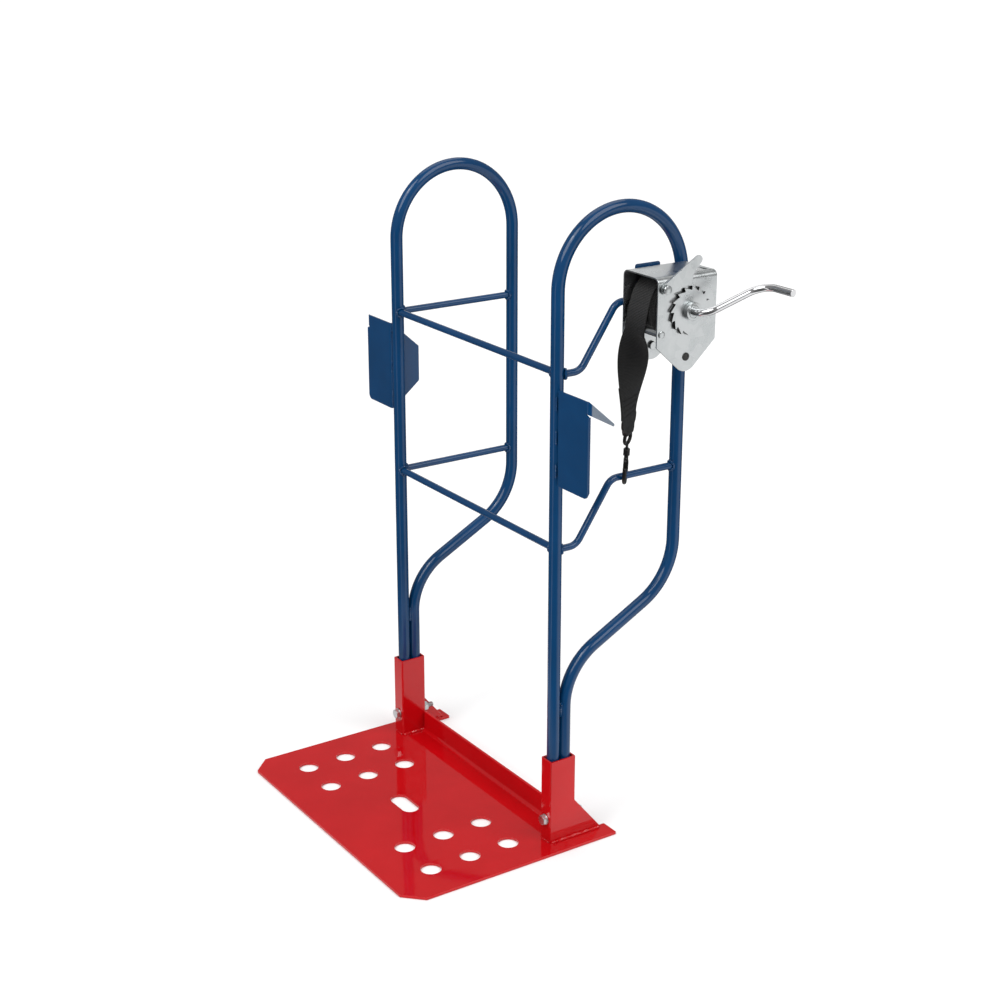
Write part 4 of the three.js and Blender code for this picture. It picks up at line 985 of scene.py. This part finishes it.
def strap_middle(drop):
    """The webbing's middle at a height below the guide bar, and the twist that it has there."""
    bent = 0.0 if drop < -SOFT else drop if drop > SOFT else (drop + SOFT) ** 2 / (4 * SOFT)
    touch_drop = GUIDE.z - AXIS_Z - TOUCH_Z
    slope = (AXIS_Y - TOUCH_Y - GUIDE.y) / touch_drop if drop < 0 else -PULL.y / PULL.z
    share = max(0.0, drop / PULL.z - TWIST_START) / ((GUIDE - STRAP_END).length - SEWN - TWIST_START)
    middle = Vector((GUIDE.x - PULL.x / PULL.z * bent, GUIDE.y + slope * drop, GUIDE.z - drop))
    return middle, TWIST * (1 - (1 - share) ** TWIST_EASE)


def strap_stations():
    """The webbing's middle line with the directions across it and through it, down from the roll."""
    last = ((GUIDE - STRAP_END).length - SEWN) * PULL.z
    drops = [*np.linspace(GUIDE.z - AXIS_Z - TOUCH_Z, -SOFT, 4)[:-1], *np.linspace(-SOFT, last, 96)]
    middles = [strap_middle(drop) for drop in drops]
    stations = []
    for k, (point, turn) in enumerate(middles):
        above, below = middles[max(k - 1, 0)][0], middles[min(k + 1, len(middles) - 1)][0]
        along = (above - below).normalized()
        across = level_at(turn, along)
        stations.append((point, across, along.cross(across)))
    return stations


def strap_parts():
    stations = strap_stations()
    section = strap_loop(STRAP_HALF)
    rows, flats = [], []
    length = 0.0
    for k, (point, across, through) in enumerate(stations):
        if k:
            length += (point - stations[k - 1][0]).length
        cup = 1.5 * sin(pi * k / (len(stations) - 1)) ** 2
        grown = min(1.0, 0.12 + length / 16)  # it comes off the roll's face thin
        shape = [(a, STRAP_THICK / 2 - (STRAP_THICK / 2 - b) * grown + cup * (1 - (a / STRAP_HALF) ** 2))
                 for a, b in section]
        rows.append(around(point, (across, through), shape))
        flats += [(a, length) for a, _ in section]
    across = level_at(TWIST)
    through = PULL.cross(across)
    origin = STRAP_END + PULL * SEWN
    for distance, share, thickness in SEWN_END:
        axes = across * share, through * thickness / STRAP_THICK
        rows.append(around(origin - PULL * distance, axes, section))
        flats += [(a, length + distance) for a, _ in section]
    layer, layer_flats = [], []
    for k, (point, *axes) in enumerate(s for s in stations if (s[0] - origin).dot(PULL) < DOUBLED):
        layer.append(around(point + axes[1] * 1.7, axes, strap_loop(STRAP_HALF + 0.5)))
        layer_flats += [(a, length - 3 * k) for a, _ in strap_loop(STRAP_HALF + 0.5)]
    return [skin(rows, flat=flats), skin(layer, flat=layer_flats)]


def stitches():
    made = []
    for point, across, through in strap_stations()[-18::5]:
        for out in (through * 2.75, through * -1.25):
            dip = out.normalized() * 0.25
            for k in range(-10, 11):
                middle = point + across * (2.15 * k) + out
                ends = [middle - across * 0.85 - dip, middle - across * 0.5, middle + across * 0.5,
                        middle + across * 0.85 - dip]
                made.append(rod(ends, 0.32, 8, material=1))
    return made


make("strap_span", "stand", "webbing", strap_parts() + stitches(), [WEBBING, THREAD], "strap", sharp=50)


# ---- swivel eye, hook and gate

HOOK_U = level_at(degrees(PLANE_TURN))
HOOK_V = -HOOK_U.cross(PULL)
HOOK = Matrix.Translation(HOOK_CENTRE) @ Matrix((HOOK_U, HOOK_V, PULL)).transposed().to_4x4()
X_TO_W = Matrix(((0, 1, 0, 0), (0, 0, 1, 0), (1, 0, 0, 0), (0, 0, 0, 1)))
STEM = [(36.5, 0), (36.5, 3.1), (36.9, 3.5), (39.6, 3.5), (40, 3.1), (40, 2.3), (54.5, 2.3), (57, 3.2),
        (57, 0)]
BARREL = [(34, 0), (34, 4.9), (34.6, 5.5), (45.7, 5.5), (46.3, 4.9), (46.3, 2.6), (40.3, 2.6), (40.3, 3.8),
          (36.2, 3.8), (36.2, 0)]
HOOK_ROUTE = [(0, 0, 36), (0, 0, 27), (-BEND, 0, 13), (-BEND, 0, -BEND), (BEND, 0, -BEND), (BEND, 0, 17.5)]
LUG = [(0, 28.4), (9.4, 28.4), (9.4, 33.6), (0, 33.6)]
PIVOT_U, PIVOT_W, PIVOT, PIVOT_HOLE = 6.8, 31, 1.2, 1.5
NOSE, GATE = BEND - ROD - GAP, 2.3  # where the gate meets the hook's nose, and its width


def turned_on_pull(profile):
    return placed(turned(profile, 32), HOOK @ X_TO_W)


def eye():
    points = around(HOOK_CENTRE + PULL * EYE_W, (level_at(TWIST), PULL), ring(EYE, 56))
    return skin(piped(points, EYE_ROD, 20, True), closed=True)


def across_hook(outline, half, holes=(), edge=0.35):
    """A flat piece in the hook's plane, drawn in (u, w)."""
    flat = sheet_metal(outline, holes, 2 * half, edge)
    return placed(part([(u, half - v, w) for u, w, v in flat["points"]], flat["faces"]), HOOK)


def pivot_hole():
    return [circle(PIVOT_U, PIVOT_W, PIVOT_HOLE, 20)]


def gate_parts():
    outline = [(4.5, 32.1), (4.5, 28.7), (NOSE - GATE, 13.4), (NOSE, 13.4), (NOSE, 18.5), (10.2, 30),
               (9.1, 33.3)]
    outline = rounded_loop(outline, [1, 1, 0.8, 0.5, 0.5, 1, 1.5], 4)
    back = [(NOSE - 1.5, 13.4), (NOSE, 13.4), (NOSE, 18.5), (10.4, 26), (9.2, 25.4), (NOSE - 1.5, 18)]
    cheeks = [placed(across_hook(outline, 0.8, pivot_hole(), 0.3), Matrix.Translation(HOOK_V * side * 2.8))
              for side in (-1, 1)]
    return [*cheeks, across_hook(back, 2.4, edge=0.2)]


make("eye_and_stem", "stand", "black_steel", [eye(), turned_on_pull(STEM)], [BLACK_STEEL_AND_SHADE], "swivel_eye")
hook_rod = placed(rod(rounded(HOOK_ROUTE, [7, 7, BEND, BEND], 5), ROD, chamfer=1.1), HOOK)
lug = across_hook(rounded_loop(LUG, [0, 2.4, 2.4, 0]), 1.6, pivot_hole())
make("snap_hook", "hook", "black_steel", [hook_rod, turned_on_pull(BARREL), lug], [BLACK_STEEL_AND_SHADE], "hook_body")
make("snap_gate", "gate", "black_steel", gate_parts(), [BLACK_STEEL_AND_SHADE], "hook_gate")
pivot = rod([Vector((PIVOT_U, side * 3.7, PIVOT_W)) for side in (-1, 1)], PIVOT, 20, chamfer=0.3)
zinc("pivot_pin", "gate_pin", [placed(pivot, HOOK)], "hook")


# ---- floor, light and camera

FLOOR_HALF, FLOOR_DROP = 60.0, 0.0006  # metres
ROOM_START, ROOM_FULL = 0.3, 0.8  # how far out, in metres, reflections see the paper end and the room begin
# The room's lit strips, as shares of a turn: dull outside each group of four and lit within it.
STRIPS = ((0.25, 0.265, 0.295, 0.31), (0.5, 0.56, 0.64, 0.7))
LENS, AZIMUTH, ELEVATION, DISTANCE = 66.0, 56.36, 19.54, 3.23
TARGET = Vector((0.02520, 0.03975, 0.56))
# Each lamp's azimuth, elevation, strength and width.
SUNS = (("key_light", 20, 45, 1.7, 45), ("fill_light", 110, 42, 1.3, 45), ("top_light", 240, 64, 0.6, 50),
        ("back_light", 236, 13, 0.05, 16), ("spark_light", 15, 52, 0.2, 8))


def dim_room(made, tree, place):
    """In reflections the paper ends near the stand and a darker room begins, with two lit strips in it."""
    reach = add(tree, "ShaderNodeVectorMath", {0: place}, "Value", operation="LENGTH")
    around_z = add(tree, "ShaderNodeTexGradient", {"Vector": place}, gradient_type="RADIAL")
    stops = [(at, grey(level)) for strip in STRIPS for at, level in zip(strip, (1, 0, 0, 1))]
    share = product(tree, spread(tree, reach, 0.0, 1.0, ROOM_START, ROOM_FULL), ramp(tree, around_z, stops))
    glossy = add(tree, "ShaderNodeLightPath", {}, "Is Glossy Ray")
    mixed = add(tree, "ShaderNodeMixShader", {
        "Fac": product(tree, share, glossy),
        1: tree.nodes["Principled BSDF"].outputs["BSDF"],
        2: add(tree, "ShaderNodeBsdfDiffuse", {"Color": (*grey(0.1), 1)}),
    })
    join(tree, tree.nodes["Material Output"].inputs["Surface"], mixed)


def studio_floor():
    mesh = bpy.data.meshes.new("studio_floor")
    corners = [(a * FLOOR_HALF, b * FLOOR_HALF, 0) for a, b in ((-1, -1), (1, -1), (1, 1), (-1, 1))]
    mesh.from_pydata(corners, [], [(0, 1, 2, 3)])
    made, tree, place = started("studio_paper")
    shaded(made, {"Base Color": ramp(tree, noise(tree, place, 2), [(0.3, grey(0.945)), (0.7, grey(0.955))]),
                  "Roughness": 0.9, "Specular IOR Level": 0.1})
    dim_room(made, tree, place)
    mesh.materials.append(made)
    floor = bpy.data.objects.new("studio_floor", mesh)
    floor.location.z = -FLOOR_DROP
    link(floor)


def aimed(name, data, azimuth, elevation):
    """A lamp or camera that looks back along its azimuth and elevation, and the direction out to it."""
    a, e = radians(azimuth), radians(elevation)
    out = Vector((sin(a) * cos(e), -cos(a) * cos(e), sin(e)))
    made = bpy.data.objects.new(name, data)
    made.rotation_mode = "QUATERNION"
    made.rotation_quaternion = out.to_track_quat("Z", "Y")
    link(made)
    return made, out


def lit():
    world = bpy.data.worlds.new("studio")
    world.use_nodes = True
    sky = world.node_tree.nodes["Background"].inputs
    sky["Color"].default_value = (*grey(1), 1)
    seen = add(world.node_tree, "ShaderNodeLightPath", {}, "Is Camera Ray")
    join(world.node_tree, sky["Strength"], spread(world.node_tree, seen, 0.3, 1.0, 0.0, 1.0))
    scene.world = world
    for name, azimuth, elevation, strength, width in SUNS:
        lamp = bpy.data.lights.new(name, "SUN")
        lamp.energy = strength
        lamp.angle = radians(width)
        aimed(name, lamp, azimuth, elevation)
    scene.view_settings.view_transform = "Standard"


def camera():
    lens = bpy.data.cameras.new("camera")
    lens.lens = LENS
    lens.sensor_width = 36
    lens.clip_end = 200
    made, out = aimed("camera", lens, AZIMUTH, ELEVATION)
    made.location = TARGET + out * DISTANCE
    scene.camera = made


studio_floor()
lit()
camera()
